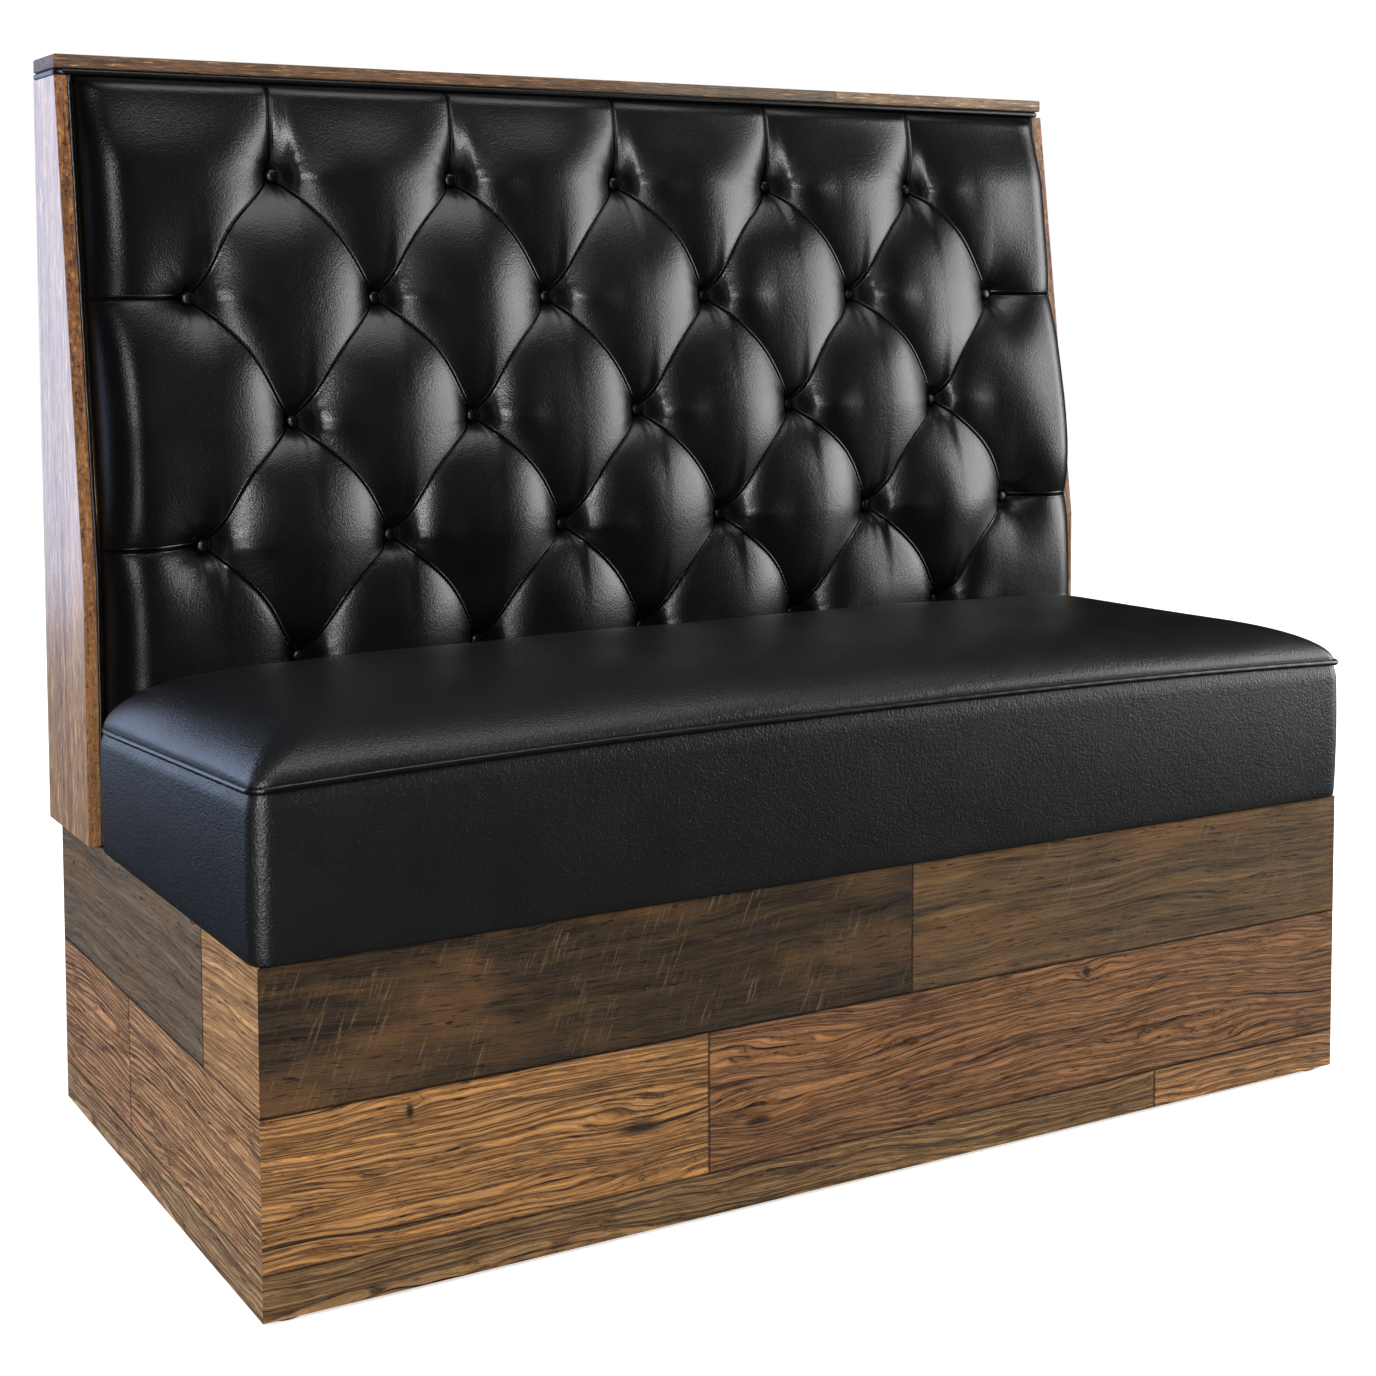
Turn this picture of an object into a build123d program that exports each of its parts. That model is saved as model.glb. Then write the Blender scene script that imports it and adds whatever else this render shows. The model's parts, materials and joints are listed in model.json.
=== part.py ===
from build123d import *
import math
import os

# A single-sided restaurant booth: a plank-clad box base, a crowned vinyl seat with a welted edge, and a
# diamond-tufted back between two wood side panels under a wood cap.
# X runs across the width, Y from the front to the back, Z up. The origin lies on the floor, under the
# middle of the booth's footprint. All sizes are in millimetres.

# Driving sizes of the whole booth
base_width = 1195.0
base_depth = 597.0
base_height = 293.0
overall_height = 1068.5
seat_overhang = 6.0
clearance = 0.5
cut_overrun = 5.0

# Base
floor_gap = 4.5
plank_thickness = 5.0
plank_joint = 0.4
low_course = 38.8
middle_course = 129.8
panel_board = 18.0
divider_spacing_share = 0.335
divider_lift = 8.0
beam_thickness = 38.0
beam_height = 60.0
beam_from_rear = 80.0
corner_post_width = 45.0
dowel_diameter = 8.0
dowel_length = 36.0
dowel_height_shares = [0.25, 0.75]
batten_width = 30.0
batten_height = 40.0
top_joint_shares = {"front": [0.538], "right": [0.42], "rear": [0.36, 0.79], "left": [0.76]}
middle_joint_shares = {"front": [0.351], "right": [0.71], "rear": [0.58], "left": [0.385]}
low_joint_shares = {"front": [0.792], "right": [0.30], "rear": [0.22], "left": []}

# Floor glides: a flanged threaded insert in each corner post, a stem in it and a pad on the stem
pad_diameter = 38.0
pad_edge_round = 2.0
pad_clearance = 0.3
stem_diameter = 8.0
stem_length = 40.0
stem_head_diameter = 13.0
stem_head_height = 2.2
stem_slot_width = 1.5
stem_slot_depth = 1.5
running_clearance = 0.05
insert_flange_diameter = 22.0
insert_flange_thickness = 1.5
insert_barrel_diameter = 11.0
insert_barrel_length = 12.0
glide_inset = 24.0

# Seat
seat_back_gap = 6.0
seat_board_thickness = 15.0
seat_front_height = 147.0
seat_rear_height = 122.0
seat_crown = 44.0
seat_crown_rear = 61.0
seat_corner_radius = 17.0
seat_draw = 3.0
seat_side_rise = 36.0
cover_thickness = 2.0
cover_lift = 1.0
seat_welt_diameter = 6.0
crown_flat_depth = 120.0
crown_radius_gain = 36.0
crown_inset_shares = [0.025, 0.07, 0.15, 0.26, 0.41, 0.60, 1.0]
crown_rise_shares = [0.22, 0.40, 0.58, 0.75, 0.86, 0.93, 1.0]

# Back frame and side panels
side_panel_thickness = 12.0
side_panel_low_depth = 147.0
side_panel_top_depth = 80.0
side_panel_knee_share = 0.3492
side_panel_lift = 2.5
edge_band_thickness = 2.0
cap_thickness = 13.5
cap_depth = 80.0
cap_round = 2.0
cap_joint_share = 0.75
cap_welt_diameter = 7.3
cap_welt_corner = 8.0
rear_panel_thickness = 6.0
post_thickness = 18.0
inner_post_share = 0.75
top_rail_height = 30.0
bottom_rail_height = 30.0
middle_rail_height = 60.0
middle_rail_drop = 18.0
middle_rail_thickness = 18.0
back_board_thickness = 12.0
board_low_depth = 134.0
board_top_depth = 64.0
board_knee_share = 0.4359
side_welt_diameter = 4.0
side_welt_bend = 200.0

# Tufted back
button_pitch_share = 0.165
lowest_button_row_share = 0.22874
lower_row_rise_share = 0.15796
upper_row_rise_share = 0.16462
button_rows = 5
knee_row = 2
short_row_buttons = 5
pad_under_button = 20.0
pad_under_button_shares = [0.65, 0.9, 1.0, 0.8, 0.45]
back_crown = 28.0
low_pad = 17.5
top_pad = 11.0
low_pad_rise = 120.0
back_side_gap = 6.0
side_edge_setback = 2.0
button_flat = 15.0
button_diameter = 13.0
button_edge = 2.0
button_dome = 3.0
button_seat_gap = 0.6
tie_diameter = 2.0
tie_washer_diameter = 14.0
tie_washer_thickness = 1.5

# Screws and bolts
screw_diameter = 4.0
screw_head_diameter = 8.0
screw_clearance = 0.1
panel_screw_length = 26.0
cap_screw_length = 38.0
seat_screw_length = 50.0
screw_end_margin = 60.0
bolt_diameter = 8.0
bolt_head_width = 13.0
bolt_head_height = 5.0
nut_height = 6.5
bolt_tail = 4.0
bolt_clearance = 0.25
bolt_spacing_share = 0.301
bolt_count = 4
hexagon_sides = 6

# Places that follow from the sizes above
front_reach = seat_overhang + seat_welt_diameter / 2
front_y = -(base_depth - front_reach) / 2
rear_y = front_y + base_depth
seat_width = base_width + 2 * seat_overhang
seat_depth = base_depth + seat_overhang - side_panel_low_depth - seat_back_gap
crown_inset = (seat_depth - crown_flat_depth) / 2
half_base = base_width / 2
half_width = half_base + side_panel_thickness
base_top = floor_gap + base_height
inner_front_y = front_y + plank_thickness + panel_board
inner_rear_y = rear_y - plank_thickness - panel_board
inner_half = half_base - plank_thickness - panel_board
cap_bottom = overall_height - cap_thickness
panel_top = cap_bottom - cap_welt_diameter
back_height = panel_top - base_top
side_panel_knee = back_height * side_panel_knee_share
board_knee = back_height * board_knee_share
button_pitch = base_width * button_pitch_share
lowest_button_row = back_height * lowest_button_row_share
lower_row_rise = back_height * lower_row_rise_share
upper_row_rise = back_height * upper_row_rise_share
divider_spacing = base_width * divider_spacing_share
bolt_spacing = base_width * bolt_spacing_share
frame_rear_y = rear_y - rear_panel_thickness
seat_front_y = front_y - seat_overhang
seat_rear_y = seat_front_y + seat_depth
seat_bottom = base_top + cover_lift
knee_z = base_top + board_knee
inner_post_x = button_pitch * inner_post_share
bolt_y = rear_y - beam_from_rear
glide_x = half_base - glide_inset
glide_y = base_depth / 2 - glide_inset
base_middle_y = (front_y + rear_y) / 2
pad_height = floor_gap - pad_clearance
board_x = half_base - plank_thickness
corner_x = board_x - corner_post_width
front_corner_y = front_y + plank_thickness + corner_post_width
rear_corner_y = rear_y - plank_thickness - corner_post_width


def slab(x_low, x_high, y_low, y_high, z_low, z_high):
    """A box between two corners."""
    middle = ((x_low + x_high) / 2, (y_low + y_high) / 2, (z_low + z_high) / 2)
    return Pos(*middle) * Box(x_high - x_low, y_high - y_low, z_high - z_low)


def prism(points, x_low, x_high):
    """A side outline, as (y, z) points, carried across the width."""
    outline = Plane.YZ.offset(x_low) * make_face(Polyline(*points, close=True))
    return extrude(outline, x_high - x_low)


def save(node, shapes):
    """Writes one sub-part, as one solid or as a group of separate solids."""
    solids = [solid for shape in shapes for solid in shape.solids()]
    export_step(Compound(children=solids) if len(solids) > 1 else solids[0], f"parts/{node}.step")


def mirrored(values):
    """Each place on the right and its mirror on the left."""
    return [sign * value for value in values for sign in (-1, 1)]


# Back lines: how far forward each surface of the back stands at a height

def side_line_y(z):
    """Front edge of the side panels: upright up to the knee, then leaning back."""
    low_y = rear_y - side_panel_low_depth
    lean = (side_panel_low_depth - side_panel_top_depth) / (panel_top - base_top - side_panel_knee)
    return low_y + max(0, z - base_top - side_panel_knee) * lean


def board_lean():
    """How far the upper back board runs back for each unit of height."""
    return (board_low_depth - board_top_depth) / (cap_bottom - knee_z)


def board_y(z):
    """Front face of the back boards: upright up to the knee, then leaning back."""
    return rear_y - board_low_depth + max(0, z - knee_z) * board_lean()


def board_normal(z):
    """Direction that the back board faces at a height."""
    if z <= knee_z:
        return Vector(0, -1, 0)
    return Vector(0, -1, board_lean()).normalized()


# Fasteners

def screw(length):
    """A countersunk screw, its head's top at the origin and its tip along -Z."""
    head_height = (screw_head_diameter - screw_diameter) / 2
    head = Cone(screw_diameter / 2, screw_head_diameter / 2, head_height,
                align=(Align.CENTER, Align.CENTER, Align.MAX))
    shank = Cylinder(screw_diameter / 2, length, align=(Align.CENTER, Align.CENTER, Align.MAX))
    return head + shank


def screw_hole(length):
    """The hole that a screw sits in, a little larger all round."""
    head_height = (screw_head_diameter - screw_diameter) / 2
    head = Cone(screw_diameter / 2 + screw_clearance, screw_head_diameter / 2 + screw_clearance,
                head_height, align=(Align.CENTER, Align.CENTER, Align.MAX))
    shank = Cylinder(screw_diameter / 2 + screw_clearance, length + screw_clearance,
                     align=(Align.CENTER, Align.CENTER, Align.MAX))
    return head + shank


def set_out(shape, places):
    """Copies of a shape, one at each place."""
    return [place * shape for place in places]


def dowel_places():
    """Two dowels from each end of each base panel into its corner post, as places on their middles."""
    places = []
    for share in dowel_height_shares:
        z = floor_gap + base_height * share
        for x in mirrored([corner_x]):
            for y in (front_y, rear_y):
                middle_y = y + math.copysign(plank_thickness + panel_board / 2, -y)
                places.append(Location((x, middle_y, z), (0, 90, 0)))
        for x in mirrored([board_x - panel_board / 2]):
            for y in (front_corner_y, rear_corner_y):
                places.append(Location((x, y, z), (90, 0, 0)))
    return places


def seat_screw_places():
    """Three screws up through each batten into the seat board."""
    places = []
    for x in mirrored([inner_half - batten_width / 2]):
        for y in seat_screw_rows():
            places.append(Location((x, y, base_top - batten_height), (180, 0, 0)))
    return places


def seat_screw_rows():
    """Places of the seat screws along the depth."""
    first = front_corner_y + screw_end_margin
    last = seat_rear_y - screw_end_margin
    return [first, (first + last) / 2, last]


def panel_screw_places():
    """Four screws through each outer post into its side panel."""
    places = []
    rise = panel_top - base_top - bottom_rail_height
    y = frame_rear_y - screw_end_margin / 2
    for step in range(bolt_count):
        z = base_top + bottom_rail_height + rise * (step + 1 / 2) / bolt_count
        places.append(Location((half_base - post_thickness, y, z), (0, -90, 0)))
        places.append(Location((post_thickness - half_base, y, z), (0, 90, 0)))
    return places


def cap_screw_places():
    """Screws up through the top rail into both boards of the cap."""
    last = half_base - screw_end_margin
    y = frame_rear_y - top_rail_depth() / 2
    return [Location((last * (2 * step / bolt_count - 1), y, cap_bottom - top_rail_height), (180, 0, 0))
            for step in range(bolt_count + 1)]


def bolt_places():
    """Bolts down through the bottom rail and the beam of the base."""
    return [Pos(bolt_spacing * (step - (bolt_count - 1) / 2), bolt_y, base_top + bottom_rail_height)
            for step in range(bolt_count)]


def hexagon(width, height):
    """A hexagonal prism, given across its flats, standing on the origin."""
    return extrude(RegularPolygon(width / 2, hexagon_sides, major_radius=False), height)


def bolt():
    """A hexagon-headed bolt, the head's underside at the origin."""
    shank_length = bottom_rail_height + beam_height + nut_height + bolt_tail
    shank = Cylinder(bolt_diameter / 2, shank_length, align=(Align.CENTER, Align.CENTER, Align.MAX))
    return hexagon(bolt_head_width, bolt_head_height) + shank


def bolt_nut():
    """The nut under the beam."""
    nut = hexagon(bolt_head_width, nut_height) - Cylinder(bolt_diameter / 2 + running_clearance,
                                                          2 * nut_height + cut_overrun)
    return Pos(0, 0, -bottom_rail_height - beam_height - nut_height) * nut


def bolt_hole():
    """The clearance hole for a bolt, through the rail and the beam."""
    return Cylinder(bolt_diameter / 2 + bolt_clearance,
                    2 * (bottom_rail_height + beam_height + cut_overrun))


# Base

def base_panels():
    """Plywood panels behind the planks, doweled between the corner posts."""
    holes = set_out(Cylinder(dowel_diameter / 2 + running_clearance, dowel_length + clearance),
                    dowel_places())
    front = slab(-corner_x, corner_x, front_y + plank_thickness, inner_front_y, floor_gap, base_top)
    rear = slab(-corner_x, corner_x, inner_rear_y, rear_y - plank_thickness, floor_gap, base_top)
    right = slab(inner_half, board_x, front_corner_y, rear_corner_y, floor_gap, base_top)
    save("base_front_panel", [front - holes])
    save("base_rear_panel", [rear - holes])
    save("base_right_panel", [right - holes])
    save("base_left_panel", [mirror(right, about=Plane.YZ) - holes])
    save("corner_posts", [corner_post(signs) - holes for signs in corner_signs().values()])
    save("base_dowels", set_out(Cylinder(dowel_diameter / 2, dowel_length), dowel_places()))


def corner_post(signs):
    """A corner post, bored from below for its threaded insert and the stem."""
    x_edges = sorted([signs[0] * corner_x, signs[0] * board_x])
    y_edges = [rear_corner_y, rear_y - plank_thickness] if signs[1] > 0 else \
        [front_y + plank_thickness, front_corner_y]
    bore = Cylinder(insert_barrel_diameter / 2, 2 * (insert_flange_thickness + insert_barrel_length))
    bore += Cylinder(stem_diameter / 2 + clearance, 2 * (stem_length + cut_overrun))
    bore += Cylinder(insert_flange_diameter / 2, 2 * insert_flange_thickness)
    return slab(*x_edges, *y_edges, floor_gap, base_top) - glide_place(signs) * Pos(0, 0, pad_height) * bore


def base_dividers():
    """Two cross dividers from the front panel to the beam."""
    beam_front = bolt_y - beam_thickness / 2
    low = floor_gap + divider_lift
    boards = [slab(x - panel_board / 2, x + panel_board / 2, inner_front_y, beam_front, low, base_top)
              for x in mirrored([divider_spacing / 2])]
    save("base_dividers", boards)


def base_beam():
    """Beam under the back frame, from one side panel to the other."""
    beam = slab(-inner_half, inner_half, bolt_y - beam_thickness / 2, bolt_y + beam_thickness / 2,
                base_top - beam_height, base_top)
    save("base_back_beam", [beam - set_out(bolt_hole(), bolt_places())])


def corner_signs():
    """The four corners, with their names."""
    return {"front_left": (-1, -1), "front_right": (1, -1), "rear_left": (-1, 1), "rear_right": (1, 1)}


def glide_place(signs):
    """A glide's axis, on the floor under its corner post."""
    return Pos(signs[0] * glide_x, base_middle_y + signs[1] * glide_y, 0)


def plank(start, end, height, length):
    """One cladding board along X, mitred where it reaches a corner of the base."""
    start_in = start + (plank_thickness if start == 0 else 0)
    end_in = end - (plank_thickness if end == length else 0)
    outline = Polyline((start, 0), (end, 0), (end_in, plank_thickness), (start_in, plank_thickness),
                       close=True)
    return extrude(make_face(outline), height)


def cladding(side, length):
    """Three courses of boards on one face, laid out from that face's own left end."""
    boards = []
    top_course = base_height - low_course - middle_course
    courses = [(0, low_course, low_joint_shares), (low_course, middle_course, middle_joint_shares),
               (low_course + middle_course, top_course, top_joint_shares)]
    for rise, height, joints in courses:
        edges = [0] + [length * share for share in joints[side]] + [length]
        for start, end in zip(edges, edges[1:]):
            left = start + (plank_joint / 2 if start > 0 else 0)
            right = end - (plank_joint / 2 if end < length else 0)
            boards.append(Pos(0, 0, floor_gap + rise) * plank(left, right, height - plank_joint, length))
    return boards


def planks():
    """Cladding on the four faces of the base."""
    faces = {"front": (Pos(-half_base, front_y, 0), base_width),
             "right": (Pos(half_base, front_y, 0) * Rot(0, 0, 90), base_depth),
             "rear": (Pos(half_base, rear_y, 0) * Rot(0, 0, 180), base_width),
             "left": (Pos(-half_base, rear_y, 0) * Rot(0, 0, 270), base_depth)}
    for side, (place, length) in faces.items():
        save(f"{side}_planks", [place * board for board in cladding(side, length)])


def seat_battens():
    """Battens inside the side panels that the seat is screwed down to."""
    holes = set_out(screw_hole(seat_screw_length), seat_screw_places())
    right = slab(inner_half - batten_width, inner_half, front_corner_y, bolt_y - beam_thickness / 2,
                 base_top - batten_height, base_top)
    save("seat_battens", [right - holes, mirror(right, about=Plane.YZ) - holes])
    save("seat_screws", set_out(screw(seat_screw_length), seat_screw_places()))


# Floor glides

def glide_insert():
    """Flanged insert let into the post from below, its flange's underside at the pad's top."""
    flange = Cylinder(insert_flange_diameter / 2, insert_flange_thickness,
                      align=(Align.CENTER, Align.CENTER, Align.MIN))
    barrel = Cylinder(insert_barrel_diameter / 2, insert_flange_thickness + insert_barrel_length,
                      align=(Align.CENTER, Align.CENTER, Align.MIN))
    bore = Cylinder(stem_diameter / 2 + running_clearance, 2 * (insert_barrel_length + cut_overrun))
    return Pos(0, 0, pad_height) * (flange + barrel - bore)


def glide_stem():
    """Threaded stem: a flat head that turns in the pad, and a shank slotted at its top."""
    head = Cylinder(stem_head_diameter / 2, stem_head_height, align=(Align.CENTER, Align.CENTER, Align.MIN))
    shank = Cylinder(stem_diameter / 2, stem_length, align=(Align.CENTER, Align.CENTER, Align.MIN))
    slot = Pos(0, 0, stem_length) * Box(stem_diameter + cut_overrun, stem_slot_width, 2 * stem_slot_depth)
    return Pos(0, 0, pad_height - stem_head_height) * (head + shank - slot)


def glide_pad():
    """Round pad with a rounded lower edge and a socket for the stem's head."""
    pad = Cylinder(pad_diameter / 2, pad_height, align=(Align.CENTER, Align.CENTER, Align.MIN))
    pad = fillet(pad.edges().group_by(Axis.Z)[0], pad_edge_round)
    socket = Pos(0, 0, pad_height - stem_head_height) * Cylinder(
        stem_head_diameter / 2 + running_clearance, stem_head_height + cut_overrun,
        align=(Align.CENTER, Align.CENTER, Align.MIN))
    return pad - socket


def glides():
    """An insert, a stem and a pad at each corner."""
    places = {name: glide_place(signs) for name, signs in corner_signs().items()}
    save("glide_inserts", set_out(glide_insert(), places.values()))
    for name, place in places.items():
        save(f"glide_pad_{name}", [place * glide_pad()])
        save(f"glide_stem_{name}", [place * glide_stem()])


# Seat

def seat_section(inset, front_z, rear_z, radius):
    """One rounded outline of the seat, tilted so that it runs from front_z down to rear_z."""
    depth = seat_depth - 2 * inset
    middle = ((seat_front_y + seat_rear_y) / 2, (front_z + rear_z) / 2)
    tilt = math.atan2(rear_z - front_z, depth)
    plane = Plane(origin=(0, *middle), x_dir=(1, 0, 0), z_dir=(0, -math.sin(tilt), math.cos(tilt)))
    return plane * RectangleRounded(seat_width - 2 * inset, depth / math.cos(tilt), radius)


def seat_form(inset, drop=0):
    """The seat's outer form, or one that lies an even inset inside it: drawn-in boxing, then a crown."""
    low = seat_bottom
    welt_front = base_top + seat_front_height
    welt_rear = base_top + seat_rear_height
    crown_front = welt_front + seat_crown
    crown_rear = welt_rear + seat_crown_rear
    levels = [(seat_draw, low - drop, low - drop, 0, 0),
              (0, low + seat_side_rise, low + seat_side_rise, 0, 0),
              (0, welt_front - seat_side_rise, welt_rear - seat_side_rise, 0, 0),
              (seat_draw, welt_front, welt_rear, 0, 0)]
    for inset_share, rise_share in zip(crown_inset_shares, crown_rise_shares):
        level_inset = seat_draw + inset_share * (crown_inset - seat_draw)
        levels.append((level_inset, welt_front, welt_rear, rise_share, inset_share))
    sections = []
    for level_inset, front_z, rear_z, rise_share, gain in levels:
        front = front_z + rise_share * (crown_front - welt_front - inset)
        rear = rear_z + rise_share * (crown_rear - welt_rear - inset)
        radius = seat_corner_radius - inset + gain * crown_radius_gain
        sections.append(seat_section(level_inset + inset, front, rear, radius))
    return loft(sections, ruled=True)


def seat():
    """Seat board, foam core, cover and the welt round the cover's top edge."""
    wrap = cover_thickness + clearance
    board_top = base_top + seat_board_thickness
    margin = 2 * (wrap + seat_draw)
    outline = RectangleRounded(seat_width - margin, seat_depth - margin, seat_corner_radius - wrap)
    board = Pos(0, (seat_front_y + seat_rear_y) / 2, base_top) * extrude(outline, seat_board_thickness)
    holes = set_out(screw_hole(seat_screw_length), seat_screw_places())
    save("seat_board", [board - holes])
    below = slab(-seat_width, seat_width, -base_depth, base_depth, -base_height, board_top)
    save("seat_foam", [seat_form(wrap, cut_overrun) - below])
    save("seat_cover", [seat_form(0) - seat_form(cover_thickness, cut_overrun)])
    save("seat_welt", [seat_welt()])


def seat_welt():
    """A welt along the seam between boxing and crown: up one side, across the front, down the other."""
    radius = seat_welt_diameter / 2
    reach = radius + pad_clearance - seat_draw
    bend = seat_corner_radius + reach
    x = seat_width / 2 + reach
    front_z = base_top + seat_front_height
    tilt = math.atan2(seat_rear_height - seat_front_height, seat_depth)
    plane = Plane(origin=(0, seat_front_y - reach, front_z), x_dir=(1, 0, 0),
                  z_dir=(0, -math.sin(tilt), math.cos(tilt)))
    run = (seat_depth - seat_corner_radius) / math.cos(tilt)
    path = plane * FilletPolyline((-x, run), (-x, 0), (x, 0), (x, run), radius=bend)
    profile = plane * (Pos(-x, run, 0) * (Plane.XZ * Circle(radius)))
    return sweep(profile, path=path)


# Back frame

def post(x_low, x_high):
    """An upright of the back frame, cut to the line of the back boards."""
    low = base_top + bottom_rail_height
    high = cap_bottom - top_rail_height
    back = back_board_thickness
    points = [(frame_rear_y, low), (board_y(low) + back, low), (board_y(knee_z) + back, knee_z),
              (board_y(high) + back, high), (frame_rear_y, high)]
    return prism(points, x_low, x_high)


def posts():
    """Four uprights; the outer two are bored for the screws of the side panels."""
    holes = set_out(screw_hole(panel_screw_length), panel_screw_places())
    save("back_right_post", [post(half_base - post_thickness, half_base) - holes])
    save("back_left_post", [post(-half_base, post_thickness - half_base) - holes])
    save("back_inner_posts", [post(x - post_thickness / 2, x + post_thickness / 2)
                              for x in mirrored([inner_post_x])])
    save("panel_screws", set_out(screw(panel_screw_length), panel_screw_places()))


def top_rail_depth():
    """Depth of the top rail at its underside."""
    low = cap_bottom - top_rail_height
    return frame_rear_y - board_y(low) - back_board_thickness


def rails():
    """Top rail under the cap, two middle rails between the posts, and the bolted bottom rail."""
    high = cap_bottom
    low = cap_bottom - top_rail_height
    back = back_board_thickness
    points = [(frame_rear_y, low), (board_y(low) + back, low), (board_y(high) + back, high),
              (frame_rear_y, high)]
    cap_holes = set_out(screw_hole(cap_screw_length), cap_screw_places())
    save("back_top_rail", [prism(points, -half_base, half_base) - cap_holes])
    save("back_middle_rails", middle_rails())
    rail_y = board_y(knee_z) + back
    bottom = slab(-half_base, half_base, rail_y, frame_rear_y, base_top, base_top + bottom_rail_height)
    save("back_bottom_rail", [bottom - set_out(bolt_hole(), bolt_places())])
    save("back_bolts", set_out(bolt(), bolt_places()))
    save("back_bolt_nuts", set_out(bolt_nut(), bolt_places()))


def middle_rails():
    """A rail in each of the three bays, behind the joint of the two back boards."""
    low = knee_z - middle_rail_drop
    high = low + middle_rail_height
    fronts = [(board_y(z) + back_board_thickness, z) for z in (low, knee_z, high)]
    rear = board_y(high) + back_board_thickness + middle_rail_thickness
    points = fronts + [(rear, high), (rear, low)]
    bay_edge = inner_post_x + post_thickness / 2
    outer = prism(points, bay_edge, half_base - post_thickness)
    inner = prism(points, post_thickness / 2 - inner_post_x, inner_post_x - post_thickness / 2)
    return [outer, inner, mirror(outer, about=Plane.YZ)]


def side_outline(y_gain):
    """Side panel outline, its front edge set back by y_gain."""
    low = base_top + side_panel_lift
    knee = base_top + side_panel_knee
    return [(rear_y, low), (side_line_y(low) + y_gain, low), (side_line_y(knee) + y_gain, knee),
            (side_line_y(panel_top) + y_gain, panel_top), (rear_y, panel_top)]


def side_panels():
    """Side panels, their edge bands, and the panel that closes the rear of the back."""
    holes = set_out(screw_hole(panel_screw_length), panel_screw_places())
    core = prism(side_outline(edge_band_thickness), half_base, half_width)
    save("right_side_panel", [core - holes])
    save("left_side_panel", [mirror(core, about=Plane.YZ) - holes])
    front = side_outline(0)[1:-1]
    behind = side_outline(edge_band_thickness)[1:-1]
    band = prism(front + behind[::-1], half_base, half_width)
    save("right_edge_band", [band])
    save("left_edge_band", [mirror(band, about=Plane.YZ)])
    save("outside_back_panel", [slab(-half_base, half_base, frame_rear_y, rear_y,
                                     base_top + side_panel_lift, cap_bottom)])


def cap():
    """The cap in two boards with rounded edges, over a welt that runs round its front and ends."""
    top_y = rear_y - cap_depth
    joint_x = half_width * (2 * cap_joint_share - 1)
    whole = slab(-half_width, half_width, top_y, rear_y, cap_bottom, overall_height)
    whole = fillet(whole.edges(), cap_round)
    holes = set_out(screw_hole(cap_screw_length), cap_screw_places())
    left = slab(-half_width - cut_overrun, joint_x - plank_joint / 2, top_y - cut_overrun,
                rear_y + cut_overrun, cap_bottom - cut_overrun, overall_height + cut_overrun)
    right = slab(joint_x + plank_joint / 2, half_width + cut_overrun, top_y - cut_overrun,
                 rear_y + cut_overrun, cap_bottom - cut_overrun, overall_height + cut_overrun)
    save("top_cap_left", [(whole & left) - holes])
    save("top_cap_right", [(whole & right) - holes])
    save("cap_screws", set_out(screw(cap_screw_length), cap_screw_places()))
    save("cap_welt", [cap_welt()])


def cap_welt():
    """Welt between the side panels and the cap, bent round both front corners."""
    radius = cap_welt_diameter / 2
    x = half_width - radius
    y = rear_y - cap_depth + radius
    z = panel_top + radius
    path = FilletPolyline((-x, rear_y, z), (-x, y, z), (x, y, z), (x, rear_y, z), radius=cap_welt_corner)
    profile = Plane(origin=(-x, rear_y, z), z_dir=(0, -1, 0)) * Circle(radius)
    return sweep(profile, path=path)


def side_welts():
    """Welts along the side panels' front edges, beside the tufted cover."""
    radius = side_welt_diameter / 2
    x = half_base - radius
    low = base_top + side_panel_lift
    knee = base_top + side_panel_knee
    points = [(x, side_line_y(z) + radius, z) for z in (low, knee, panel_top)]
    path = FilletPolyline(*points, radius=side_welt_bend)
    profile = Plane(origin=points[0], z_dir=(0, 0, 1)) * Circle(radius)
    right = sweep(profile, path=path)
    save("back_right_welt", [right])
    save("back_left_welt", [mirror(right, about=Plane.YZ)])


# Tufted back

def row_z(row):
    """Height of a row of buttons, counted from the lowest."""
    lower_rows = min(row, knee_row)
    return base_top + lowest_button_row + lower_rows * lower_row_rise + (row - lower_rows) * upper_row_rise


def row_columns(row):
    """Places of a row's buttons across the width: five and six by turns, from five at the bottom."""
    count = short_row_buttons + row % 2
    return [button_pitch * (step - (count - 1) / 2) for step in range(count)]


def button_places():
    """Each row's places on the pad, with -Z into the back."""
    rows = []
    for row in range(button_rows):
        z = row_z(row)
        seat_y = board_y(z) - pad_under_button * pad_under_button_shares[row]
        rows.append([Plane(origin=(x, seat_y, z), x_dir=(1, 0, 0), z_dir=board_normal(z)).location
                     for x in row_columns(row)])
    return rows


def tuft_levels():
    """Heights of the sections, the depth of the pad at the buttons there, and the kind of section."""
    levels = [(base_top - cut_overrun, low_pad, "plain"), (base_top + low_pad_rise, low_pad, "plain")]
    for row in range(button_rows):
        depth = pad_under_button * pad_under_button_shares[row]
        for z in (row_z(row) - button_flat / 2, row_z(row) + button_flat / 2):
            levels.append((z, depth, "even" if row % 2 == 0 else "odd"))
        if row < button_rows - 1:
            following = pad_under_button * pad_under_button_shares[row + 1]
            levels.append(((row_z(row) + row_z(row + 1)) / 2, (depth + following) / 2, "between"))
    last = row_z(button_rows - 1)
    levels.append(((last + panel_top) / 2, top_pad, "upper"))
    levels.append((panel_top + cut_overrun, top_pad, "top"))
    return levels


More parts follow.
